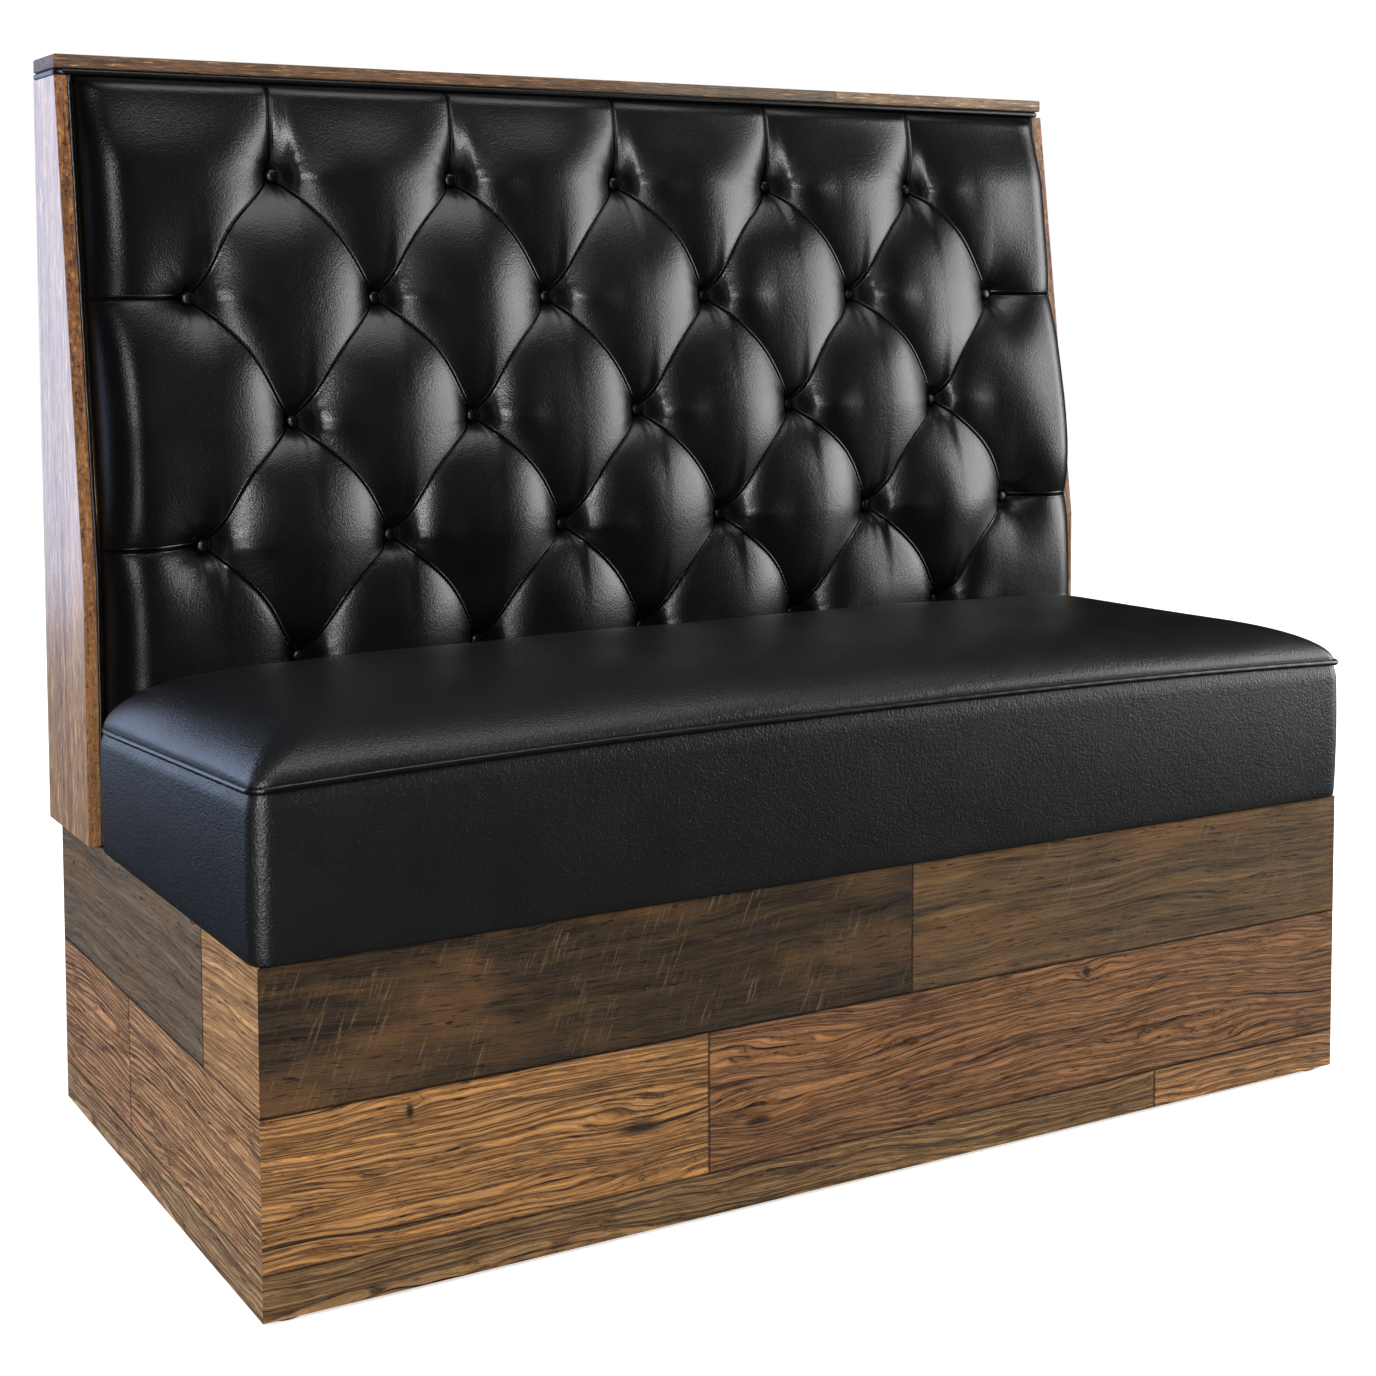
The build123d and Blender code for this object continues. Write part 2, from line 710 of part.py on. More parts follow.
# Shares of the crown in each kind of section: at a station of even and of odd number, half way between
# two stations, and the bulge of the last arc out to the side edge.
section_shares = {"plain": (0, 0, 0.02, 0.02),
                  "even": (0, 1, 0.80, 0.20),
                  "odd": (1, 0, 0.80, 0.25),
                  "between": (0.72, 0.72, 0.45, 0.15),
                  "upper": (0.30, 0.75, 0.62, 0.15),
                  "top": (0, 0.05, 0.04, 0.02)}


def tuft_section(z, depth, kind, inset):
    """A level outline of the padded back: short flats at the stations, arcs between them."""
    even, odd, middle, outer = section_shares[kind]
    half_flat = button_flat / 2
    half_cover = half_base - back_side_gap - inset

    def front(x, share):
        return (x, board_y(z) - depth - share * back_crown + inset)

    def arc(start, end, middle_y):
        return ThreePointArc(start, ((start[0] + end[0]) / 2, middle_y), end)

    left_edge = (-half_cover, side_line_y(z) + side_edge_setback + inset)
    right_edge = (half_cover, left_edge[1])
    edges = []
    start = left_edge
    for station in range(-short_row_buttons, short_row_buttons + 1):
        share = even if station % 2 == 0 else odd
        x = station * button_pitch / 2
        flat_start = front(x - half_flat, share)
        flat_end = front(x + half_flat, share)
        if start == left_edge:
            edge_middle_y = (left_edge[1] + flat_start[1]) / 2 - outer * back_crown
            edges.append(arc(start, flat_start, edge_middle_y))
        else:
            edges.append(arc(start, flat_start, front(0, middle)[1]))
        edges.append(Line(flat_start, flat_end))
        start = flat_end
    edges.append(arc(start, right_edge, edge_middle_y))
    rear_left = (-half_cover, frame_rear_y)
    rear_right = (half_cover, frame_rear_y)
    edges += [Line(right_edge, rear_right), Line(rear_right, rear_left), Line(rear_left, left_edge)]
    return Pos(0, 0, z) * make_face(edges)


def tufted_form(inset):
    """The padded back's form, or one an even inset inside it, cut to the front of the boards."""
    sections = [tuft_section(*level, inset) for level in tuft_levels()]
    block = loft(sections, ruled=True)
    low = base_top + clearance + inset
    high = panel_top - inset
    room = -base_depth
    keep = prism([(room, low), (board_y(low), low), (board_y(knee_z), knee_z), (board_y(high), high),
                  (room, high)], -half_base, half_base)
    return block & keep


def tie_holes(radius):
    """Holes for the button ties, from in front of the pad to behind the board."""
    reach = 2 * (pad_under_button + back_board_thickness + back_crown)
    hole = Cylinder(radius, reach)
    return [place * hole for row in button_places() for place in row]


def button():
    """A covered button: a short straight edge under a shallow dome, its back at the origin."""
    radius = button_diameter / 2
    dome_radius = (radius ** 2 + button_dome ** 2) / (2 * button_dome)
    sphere = Pos(0, 0, button_edge + button_dome - dome_radius) * Sphere(dome_radius)
    upper_half = Pos(0, 0, button_edge) * Cylinder(button_diameter, 2 * dome_radius,
                                                   align=(Align.CENTER, Align.CENTER, Align.MIN))
    edge = Cylinder(radius, button_edge, align=(Align.CENTER, Align.CENTER, Align.MIN))
    return edge + (sphere & upper_half)


def tie(row):
    """A tie from a button through the pad and the board to a washer behind it."""
    pad = pad_under_button * pad_under_button_shares[row]
    lean = math.hypot(1, board_lean()) if row_z(row) > knee_z else 1
    reach = (pad + back_board_thickness) / lean + tie_washer_thickness
    cord = Cylinder(tie_diameter / 2, reach + button_seat_gap,
                    align=(Align.CENTER, Align.CENTER, Align.MAX))
    washer = Pos(0, 0, -reach) * Cylinder(tie_washer_diameter / 2, tie_washer_thickness,
                                          align=(Align.CENTER, Align.CENTER, Align.MIN))
    return Pos(0, 0, button_seat_gap) * cord + washer


def tufted_back():
    """Boards, foam, cover, buttons and ties of the padded back."""
    holes = tie_holes(tie_diameter / 2 + screw_clearance)
    foam_inset = cover_thickness + clearance
    save("back_cover", [tufted_form(0) - tufted_form(cover_thickness) - holes])
    save("back_foam", [tufted_form(foam_inset) - holes])
    back = back_board_thickness
    low_y = board_y(knee_z)
    lower = slab(-half_base, half_base, low_y, low_y + back, base_top, knee_z)
    upper = prism([(low_y, knee_z), (low_y + back, knee_z), (board_y(cap_bottom) + back, cap_bottom),
                   (board_y(cap_bottom), cap_bottom)], -half_base, half_base)
    save("back_board_lower", [lower - holes])
    save("back_board_upper", [upper - holes])
    ties = []
    for row, places in enumerate(button_places()):
        save(f"button_row_{row + 1}", [place * Pos(0, 0, button_seat_gap) * button() for place in places])
        ties += set_out(tie(row), places)
    save("button_ties", ties)


def main():
    """Builds and writes every sub-part."""
    os.makedirs("parts", exist_ok=True)
    base_panels()
    base_dividers()
    base_beam()
    planks()
    seat_battens()
    glides()
    seat()
    posts()
    rails()
    side_panels()
    cap()
    side_welts()
    tufted_back()


main()
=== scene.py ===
"""Restaurant booth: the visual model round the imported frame, laid out as an add-on and run as a
script. Lengths are in metres, and left and right are those of someone who looks at the front."""
import json
import math

import bpy
import numpy as np
from mathutils import Matrix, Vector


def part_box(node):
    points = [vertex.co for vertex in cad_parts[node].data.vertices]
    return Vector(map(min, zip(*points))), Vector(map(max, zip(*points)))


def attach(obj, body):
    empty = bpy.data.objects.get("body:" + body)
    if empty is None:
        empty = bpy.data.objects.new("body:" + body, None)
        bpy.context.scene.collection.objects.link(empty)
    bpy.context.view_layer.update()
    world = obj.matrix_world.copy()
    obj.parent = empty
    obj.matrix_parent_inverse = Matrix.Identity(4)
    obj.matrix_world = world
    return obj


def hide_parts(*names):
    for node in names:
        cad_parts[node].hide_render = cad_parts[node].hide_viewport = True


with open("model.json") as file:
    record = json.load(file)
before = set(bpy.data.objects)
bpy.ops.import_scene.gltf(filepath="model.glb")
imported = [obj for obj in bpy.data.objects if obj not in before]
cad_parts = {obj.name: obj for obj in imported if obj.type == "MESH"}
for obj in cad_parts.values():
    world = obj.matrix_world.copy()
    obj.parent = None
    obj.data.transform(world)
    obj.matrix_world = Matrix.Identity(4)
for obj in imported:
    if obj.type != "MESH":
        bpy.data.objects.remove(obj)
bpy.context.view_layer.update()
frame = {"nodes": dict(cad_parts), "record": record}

bl_info = {
    "name": "Restaurant booth",
    "version": (1, 0, 0),
    "blender": (4, 5, 0),
    "location": "View3D > Sidebar > Booth",
    "description": "Dresses a tufted restaurant booth: upholstery, welts, cladding and studio",
    "category": "Object",
}

MM = 0.001

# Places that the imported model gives
BASE_LOW, BASE_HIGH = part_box("front_planks")
SIDE_LOW, SIDE_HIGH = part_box("right_planks")
SEAT_LOW, SEAT_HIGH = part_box("seat_cover")
BACK_LOW, BACK_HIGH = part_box("back_cover")
LOWER_BOARD_LOW, LOWER_BOARD_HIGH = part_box("back_board_lower")
UPPER_BOARD_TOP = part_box("back_board_upper")[1].z
PANEL_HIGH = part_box("right_side_panel")[1]
REAR_Y = PANEL_HIGH.y
PANEL_TOP = PANEL_HIGH.z
BASE_TOP = LOWER_BOARD_LOW.z
KNEE_Z = LOWER_BOARD_HIGH.z
SEAT_HALF = np.array([SEAT_HIGH.x - SEAT_LOW.x, SEAT_HIGH.y - SEAT_LOW.y]) / 2
SEAT_MIDDLE_Y = (SEAT_LOW.y + SEAT_HIGH.y) / 2

# Front edge of the side panels: its distance from the rear at the foot and at the top, and the
# height over the base at which it starts to lean back
PANEL_FOOT_DEPTH = 147 * MM
PANEL_TOP_DEPTH = 80 * MM
PANEL_KNEE_RISE = 262 * MM
# Front face of the back boards: its distance from the rear at the top, and its lean over the knee
BOARD_TOP_DEPTH = 64 * MM
BOARD_LEAN = (REAR_Y - BOARD_TOP_DEPTH - LOWER_BOARD_LOW.y) / (UPPER_BOARD_TOP - KNEE_Z)

# Rows of buttons from the lowest: height over the base, and padding behind the buttons
ROW_RISES = np.cumsum([171.6, 118.5, 118.5, 123.5, 123.5]) * MM
PAD_DEPTHS = np.array([13.0, 18.0, 20.0, 16.0, 9.0]) * MM
# The outermost buttons stand this many pitches from the middle
END_BUTTONS = 2.5
BACK_STEP = 2.4 * MM
# Points along the seat's long side, its short side and each corner
SEAT_SAMPLES = (300, 110, 14)


def linear(code):
    """An sRGB hex colour as linear RGB: c / 12.92 up to 0.04045, and above it
    ((c + 0.055) / 1.055) ^ 2.4."""
    values = [int(code[i:i + 2], 16) / 255 for i in (1, 3, 5)]
    return tuple(c / 12.92 if c <= 0.04045 else ((c + 0.055) / 1.055) ** 2.4 for c in values)


def rgba(colour):
    """A hex colour or linear RGB with an alpha of one, as node sockets take it."""
    return (linear(colour) if isinstance(colour, str) else tuple(colour)) + (1.0,)


class BoothSizes(bpy.types.PropertyGroup):
    """Sizes of the upholstery."""
    button_pitch: bpy.props.FloatProperty(
        name="Button pitch", description="Distance between buttons in a row",
        default=197.2 * MM, unit="LENGTH")
    tuft_crown: bpy.props.FloatProperty(
        name="Tuft crown", description="How far a diamond stands in front of its buttons",
        default=44.0 * MM, unit="LENGTH")
    button_diameter: bpy.props.FloatProperty(
        name="Button diameter", description="Diameter of a covered button",
        default=14.5 * MM, unit="LENGTH")
    seat_crown: bpy.props.FloatProperty(
        name="Seat crown", description="How far the seat's front rises over its welt",
        default=43.0 * MM, unit="LENGTH")
    crown_reach: bpy.props.FloatProperty(
        name="Crown reach", description="Distance from the welt over which the seat rises",
        default=165.0 * MM, unit="LENGTH")
    welt_diameter: bpy.props.FloatProperty(
        name="Welt diameter", description="Diameter of the seat's welt",
        default=6.0 * MM, unit="LENGTH")


class BoothColours(bpy.types.PropertyGroup):
    """Colours of the vinyl and of the marks on the planks."""
    seat_vinyl: bpy.props.FloatVectorProperty(
        name="Seat vinyl", description="Vinyl of the seat cushion",
        subtype="COLOR", size=3, min=0, max=1, default=linear("#08090a"))
    back_vinyl: bpy.props.FloatVectorProperty(
        name="Back vinyl", description="Vinyl of the back, the buttons and the welts",
        subtype="COLOR", size=3, min=0, max=1, default=linear("#030304"))
    # Dark colour of the grooves: partly weathered wood, partly painted shade in them
    groove_weathering_and_shade: bpy.props.FloatVectorProperty(
        name="Plank grooves", description="Weathered grooves in the planks",
        subtype="COLOR", size=3, min=0, max=1, default=linear("#1c0f06"))
    plank_patch: bpy.props.FloatVectorProperty(
        name="Plank patches", description="Orange patches on the planks",
        subtype="COLOR", size=3, min=0, max=1, default=linear("#6a4724"))
    saw_scratch: bpy.props.FloatVectorProperty(
        name="Saw scratches", description="Bare wood where the saw scratched the planks",
        subtype="COLOR", size=3, min=0, max=1, default=linear("#715c3e"))


# Surfaces

def outward(mesh):
    """Turns a closed mesh's faces outwards where its signed volume, the sum of a . (b x c) / 6 over
    its triangles, is negative."""
    mesh.calc_loop_triangles()
    corners = np.empty(len(mesh.loop_triangles) * 3, dtype=np.int32)
    mesh.loop_triangles.foreach_get("vertices", corners)
    points = np.empty(len(mesh.vertices) * 3)
    mesh.vertices.foreach_get("co", points)
    a, b, c = points.reshape(-1, 3)[corners.reshape(-1, 3)].transpose(1, 0, 2)
    if np.einsum("ij,ij->", a, np.cross(b, c)) < 0:
        mesh.flip_normals()


def mesh_piece(name, points, faces, smooth=True):
    """A mesh object with its place in its mesh, from an (n, 3) array and a list of faces."""
    mesh = bpy.data.meshes.new(name)
    mesh.from_pydata(np.asarray(points, dtype=np.float64).tolist(), [], faces)
    mesh.polygons.foreach_set("use_smooth", np.full(len(mesh.polygons), smooth))
    mesh.update()
    outward(mesh)
    piece = bpy.data.objects.new(name, mesh)
    bpy.context.scene.collection.objects.link(piece)
    return piece


def grid_faces(rows, columns, wrap_columns=False, start=0):
    """Quads of a grid of points stored row by row, as an (n, 4) array; the last column may meet the
    first."""
    row = np.arange(rows - 1)[:, None]
    column = np.arange(columns if wrap_columns else columns - 1)[None, :]
    following = (column + 1) % columns
    quads = np.stack([row * columns + column, row * columns + following,
                      (row + 1) * columns + following, (row + 1) * columns + column], axis=-1)
    return quads.reshape(-1, 4) + start


def ring_caps(first, last, sides):
    """The end faces of a skin of rings, given where its first and its last ring start."""
    return [list(range(first, first + sides))[::-1], list(range(last, last + sides))]


def tube(path, radius, sides=12):
    """A closed round tube along a path: p(u, v) = path(u) + radius(u) (cos v a(u) + sin v b(u)),
    where a is a leaning up direction made square to the path's tangent and b is square to both."""
    tangent = np.gradient(path, axis=0)
    tangent /= np.linalg.norm(tangent, axis=1, keepdims=True)
    spin = np.linspace(0, 2 * np.pi, sides, endpoint=False)[None, :, None]
    level = abs(tangent[:, 2]).max() < 0.7
    reference = np.array([0.0, 0.35, 1.0] if level else [1.0, 0.0, 0.0])
    across = reference - tangent * (tangent @ reference)[:, None]
    across /= np.linalg.norm(across, axis=1, keepdims=True)
    other = np.cross(tangent, across)
    reach = np.broadcast_to(radius, len(path))[:, None, None]
    ring = np.cos(spin) * across[:, None, :] + np.sin(spin) * other[:, None, :]
    points = (path[:, None, :] + reach * ring).reshape(-1, 3)
    faces = grid_faces(len(path), sides, wrap_columns=True).tolist()
    return points, faces + ring_caps(0, len(points) - sides, sides)


def waves(x, y, length, seed, count=9):
    """Smooth noise of about unit size: the mean of sines of x and y in random directions, with
    wavelengths from 0.6 to 1.6 times length, times the root of twice their number."""
    draw = np.random.default_rng(seed)
    turn = draw.uniform(0, 2 * np.pi, count)
    reach = 2 * np.pi / (length * draw.uniform(0.6, 1.6, count))
    phase = draw.uniform(0, 2 * np.pi, count)
    total = np.zeros(np.broadcast(x, y).shape)
    for k in range(count):
        total += np.sin(reach[k] * (np.cos(turn[k]) * x + np.sin(turn[k]) * y) + phase[k])
    return total * math.sqrt(2 / count)


def smooth_step(value, low, high):
    """3 t^2 - 2 t^3, where t runs from 0 at low to 1 at high."""
    t = np.clip((value - low) / (high - low), 0, 1)
    return t * t * (3 - 2 * t)


# Nodes

def feed(tree, node, inputs):
    """Sets a node's sockets from values, nodes or (node, output) pairs."""
    for key, value in inputs.items():
        if isinstance(value, bpy.types.Node):
            tree.links.new(value.outputs[0], node.inputs[key])
        elif isinstance(value, tuple) and isinstance(value[0], bpy.types.Node):
            tree.links.new(value[0].outputs[value[1]], node.inputs[key])
        else:
            node.inputs[key].default_value = value


def add(tree, kind, inputs=None, **settings):
    """Adds a node, named without its ShaderNode: settings go to its attributes, inputs to its
    sockets."""
    node = tree.nodes.new("ShaderNode" + kind)
    for key, value in settings.items():
        setattr(node, key, value)
    feed(tree, node, inputs or {})
    return node


def ramp(node, stops):
    """Sets a colour ramp's stops, as (position, hex colour or grey level) pairs."""
    elements = node.color_ramp.elements
    while len(elements) < len(stops):
        elements.new(1.0)
    for element, (position, colour) in zip(elements, stops):
        element.position = position
        element.color = rgba(colour if isinstance(colour, str) else [colour] * 3)
    return node


def new_material(name):
    """A material with an empty node tree and its shader and output."""
    material = bpy.data.materials.new(name)
    material.use_nodes = True
    tree = material.node_tree
    tree.nodes.clear()
    shader = add(tree, "BsdfPrincipled")
    add(tree, "OutputMaterial", {"Surface": shader})
    return material, tree, shader


def finish_with(obj, material):
    """Gives an object this one material."""
    obj.data.materials.clear()
    obj.data.materials.append(material)


def cells(size_mm):
    """A pattern's scale, in cells per metre, from the size of a cell in mm."""
    return 1000 / size_mm


def vinyl(name, colour, grain_mm=2.0, pleats=False, satin=0.29, relief=0.3):
    """Expanded upholstery vinyl, calendered and embossed with a fine hide grain: a near-black skin
    whose roughness drifts up from satin in slow clouds, and whose grain, at a strength of relief,
    breaks up its highlights. The grain of a real hide emboss is about 1 mm; it is drawn at 2 mm so
    that it shows. With pleats, the mesh's own pleat counts draw each pleat's crease and the thin
    lip of folded vinyl beside it, and painted shade, the specular taken away, darkens each crease
    and the edges where they run in behind the welts."""
    material, tree, shader = new_material(name)
    place = (add(tree, "TexCoord"), "Object")
    pebble = add(tree, "TexVoronoi", {"Vector": place, "Scale": cells(grain_mm)}, feature="F1")
    crease = add(tree, "TexNoise", {"Vector": place, "Scale": cells(11), "Detail": 5.0,
                                    "Roughness": 0.6, "Distortion": 1.6})
    cloud = add(tree, "TexNoise", {"Vector": place, "Scale": cells(70), "Detail": 3.0})
    hide = add(tree, "TexVoronoi", {"Vector": place, "Scale": cells(5)},
               feature="DISTANCE_TO_EDGE")
    hide = add(tree, "MapRange", {"Value": (hide, "Distance"), "From Max": 0.09})
    height = add(tree, "Math", {0: (crease, "Fac"), 1: 1.8, 2: (pebble, "Distance")},
                 operation="MULTIPLY_ADD")
    height = add(tree, "Math", {0: hide, 1: 0.32, 2: height}, operation="MULTIPLY_ADD")
    bump = add(tree, "Bump", {"Height": height, "Strength": relief, "Distance": 0.4 * MM})
    gloss = add(tree, "MapRange", {"Value": (cloud, "Fac"), "From Min": 0.3, "From Max": 0.7,
                                   "To Min": satin, "To Max": satin + 0.06})
    tone = add(tree, "Mix", {"Factor": (crease, "Fac"), "A": rgba(colour),
                             "B": rgba(1.5 * c for c in colour)}, data_type="RGBA")
    feed(tree, shader, {"Base Color": (tone, 2), "Roughness": gloss, "IOR": 1.5})
    if pleats:
        # Distances from a pleat's line are in pleat counts, of about 150 mm each
        deep, lips = 0.0, 0.0
        for count, side in (("pleat_right", 1.0), ("pleat_left", -1.0)):
            value = add(tree, "Attribute", attribute_name=count)
            whole = add(tree, "Math", {0: (value, "Fac")}, operation="ROUND")
            away = add(tree, "Math", {0: (value, "Fac"), 1: whole}, operation="SUBTRACT")
            near = add(tree, "Math", {0: away}, operation="ABSOLUTE")
            near = add(tree, "MapRange", {"Value": near, "From Min": 0.001, "From Max": 0.006,
                                          "To Min": 1.0, "To Max": 0.0})
            lip = add(tree, "Math", {0: away, 1: side, 2: -0.012}, operation="MULTIPLY_ADD")
            lip = add(tree, "Math", {0: lip}, operation="ABSOLUTE")
            lip = add(tree, "MapRange", {"Value": lip, "From Max": 0.006, "To Min": 1.0,
                                         "To Max": 0.0}, interpolation_type="SMOOTHSTEP")
            deep = add(tree, "Math", {0: near, 1: deep}, operation="MAXIMUM")
            lips = add(tree, "Math", {0: lip, 1: lips}, operation="MAXIMUM")
        fold = add(tree, "Math", {0: lips, 1: deep}, operation="SUBTRACT")
        bump = add(tree, "Bump", {"Height": fold, "Strength": 1.0, "Distance": 1.1 * MM,
                                  "Normal": bump})
        # Painted shade: the specular is taken away in each pleat's crease and along the back's
        # edges where they run in behind the welts, in place of the shade that falls in these folds
        welt_edge_shade = add(tree, "Attribute", attribute_name="welt_edge_shade")
        crease_and_edge_shade = add(tree, "Math", {0: deep, 1: (welt_edge_shade, "Fac")}, operation="MAXIMUM")
        shine = add(tree, "MapRange", {"Value": crease_and_edge_shade, "To Min": 0.5, "To Max": 0.0})
        feed(tree, shader, {"Specular IOR Level": shine})
    feed(tree, shader, {"Normal": bump})
    return material


def plain_wood(name, light, dark, along, ring_mm=7.0, gloss=0.55):
    """Planed softwood or plywood face, unfinished: pale, with close soft grain along one axis, 30
    times as long as it is wide."""
    material, tree, shader = new_material(name)
    where = add(tree, "TexCoord")
    stretch = [cells(ring_mm)] * 3
    stretch[along] /= 30
    lay = add(tree, "Mapping", {"Vector": (where, "Object"), "Scale": stretch})
    grain = add(tree, "TexNoise", {"Vector": lay, "Scale": 1.0, "Detail": 6.0, "Roughness": 0.62,
                                   "Distortion": 0.7})
    colour = ramp(add(tree, "ValToRGB", {"Fac": (grain, "Fac")}), [(0.3, dark), (0.68, light)])
    bump = add(tree, "Bump", {"Height": (grain, "Fac"), "Strength": 0.3, "Distance": 0.3 * MM})
    feed(tree, shader, {"Base Color": colour, "Normal": bump, "Roughness": gloss})
    return material


def metal(name, colour, gloss):
    """Pressed or turned steel, zinc or nickel plated: grey with faint cloudy wear."""
    material, tree, shader = new_material(name)
    where = add(tree, "TexCoord")
    cloud = add(tree, "TexNoise", {"Vector": (where, "Object"), "Scale": cells(4), "Detail": 4.0})
    rough = add(tree, "MapRange", {"Value": (cloud, "Fac"), "To Min": gloss - 0.08,
                                   "To Max": gloss + 0.12})
    feed(tree, shader, {"Base Color": rgba(colour), "Metallic": 1.0, "Roughness": rough})
    return material


# Cladding: heights of the two joints between courses, and each face's butt joints as
# (course from the floor, share of the face's length from its own left end)
COURSE_RISES = (38.8 * MM, 168.6 * MM)
JOINT_SHARES = {
    "front": ((0, 0.792), (1, 0.351), (2, 0.538)),
    "right": ((0, 0.30), (1, 0.71), (2, 0.42)),
    "rear": ((0, 0.22), (1, 0.58), (2, 0.36), (2, 0.79)),
    "left": ((1, 0.385), (2, 0.76)),
}
# Each course's boards from the face's left end, as (light colour, dark colour, saw marks)
BOARD_TONES = {
    "front": {0: (("#6c502c", "#22150a", 0.0), ("#8a6138", "#32200e", 0.0)),
              1: (("#8e6434", "#38200c", 0.0), ("#704a26", "#29160a", 0.0)),
              2: (("#34250f", "#120b04", 1.0), ("#574123", "#251a0c", 0.8))},
    "left": {0: (("#94785a", "#463624", 0.3),),
             1: (("#9c7655", "#3a2515", 0.0), ("#a07b58", "#402a18", 0.0)),
             2: (("#6a5c4a", "#3a3228", 1.0), ("#a07c54", "#5c432a", 0.7))},
    "right": {0: (("#6c4a2a", "#281a0e", 0.2), ("#805f3c", "#382614", 0.2)),
              1: (("#96683c", "#3e240f", 0.0), ("#9c7044", "#442910", 0.0)),
              2: (("#54432e", "#261d12", 1.0), ("#6b5034", "#33251a", 0.9))},
    "rear": {0: (("#805f3c", "#382614", 0.2), ("#6c4a2a", "#281a0e", 0.2)),
             1: (("#9c7044", "#3e240f", 0.0), ("#96683c", "#3e240f", 0.0)),
             2: (("#6b5034", "#33251a", 1.0), ("#54432e", "#261d12", 1.0),
                 ("#7d5c3c", "#463019", 0.6))},
}
# Knots and cracks seen on the front, as (distance from the left end, height, half length, half
# width) in mm
FRONT_KNOTS = ((130, 152, 5, 9), (350, 95, 34, 8), (472, 78, 20, 6), (856, 155, 8, 7))
FRONT_CRACKS = ((95, 56, 150, 1.7), (372, 104, 60, 1.8), (1130, 92, 90, 1.6))


def face_axes(tree, side):
    """Distance along a face from its own left end and height over its lower edge, in metres, with
    the face's length."""
    axes = add(tree, "SeparateXYZ", {"Vector": (add(tree, "TexCoord"), "Object")})
    lengthwise = side in ("front", "rear")
    length = BASE_HIGH.x - BASE_LOW.x if lengthwise else SIDE_HIGH.y - SIDE_LOW.y
    start = BASE_LOW.x if lengthwise else SIDE_LOW.y
    sign = 1.0 if side in ("front", "right") else -1.0
    origin = start if sign > 0 else start + length
    run = add(tree, "Math", {0: (axes, "X" if lengthwise else "Y"), 1: sign, 2: -sign * origin},
              operation="MULTIPLY_ADD")
    rise = add(tree, "Math", {0: (axes, "Z"), 1: -BASE_LOW.z}, operation="ADD")
    return run, rise, length


def joint_line(tree, place, joint):
    """One at a joint between boards, fading to nought 2 mm from it."""
    gap = add(tree, "Math", {0: place, 1: -joint}, operation="ADD")
    gap = add(tree, "Math", {0: gap}, operation="ABSOLUTE")
    return add(tree, "MapRange", {"Value": gap, "From Max": 2.0 * MM, "To Min": 1.0, "To Max": 0.0})


def board_numbers(tree, side, run, rise, length):
    """The number of the board that a point lies on, counted up the courses, and the dark line of
    the joints between boards."""
    above = [add(tree, "Math", {0: rise, 1: level - 0.2 * MM}, operation="GREATER_THAN")
             for level in COURSE_RISES]
    inside = [add(tree, "Math", {0: 1.0, 1: above[0]}, operation="SUBTRACT"),
              add(tree, "Math", {0: above[0], 1: above[1]}, operation="SUBTRACT"), above[1]]
    number = 0.0
    for course, level in enumerate(above):
        number = add(tree, "Math", {0: level, 1: float(len(BOARD_TONES[side][course])), 2: number},
                     operation="MULTIPLY_ADD")
    seam = 0.0
    for course, share in JOINT_SHARES[side]:
        past = add(tree, "Math", {0: run, 1: share * length}, operation="GREATER_THAN")
        number = add(tree, "Math", {0: past, 1: inside[course], 2: number},
                     operation="MULTIPLY_ADD")
        gap = add(tree, "Math", {0: joint_line(tree, run, share * length), 1: inside[course]},
                  operation="MULTIPLY")
        seam = add(tree, "Math", {0: gap, 1: seam}, operation="MAXIMUM")
    for level in COURSE_RISES:
        seam = add(tree, "Math", {0: joint_line(tree, rise, level), 1: seam}, operation="MAXIMUM")
    return number, seam


def board_palettes(tree, side, number):
    """Ramps that give the light colour, the dark colour and the saw marks of the board that a point
    lies on."""
    boards = [tone for course in range(3) for tone in BOARD_TONES[side][course]]
    share = add(tree, "Math", {0: number, 1: 1 / len(boards), 2: 0.5 / len(boards)},
                operation="MULTIPLY_ADD")
    palettes = []
    for k in range(3):
        palette = add(tree, "ValToRGB", {"Fac": share})
        palette.color_ramp.interpolation = "CONSTANT"
        stops = [(i / len(boards), tone[k]) for i, tone in enumerate(boards)]
        palettes.append(ramp(palette, stops))
    return palettes


def ellipse_reach(tree, run, rise, mark):
    """|(run - x) / length, (rise - z) / width| of an oval mark on the front: one on its outline."""
    x, z, long, wide = mark
    u = add(tree, "Math", {0: run, 1: cells(long), 2: -x / long}, operation="MULTIPLY_ADD")
    v = add(tree, "Math", {0: rise, 1: cells(wide), 2: -z / wide}, operation="MULTIPLY_ADD")
    reach = add(tree, "CombineXYZ", {"X": u, "Y": v})
    return (add(tree, "VectorMath", {0: reach}, operation="LENGTH"), "Value")


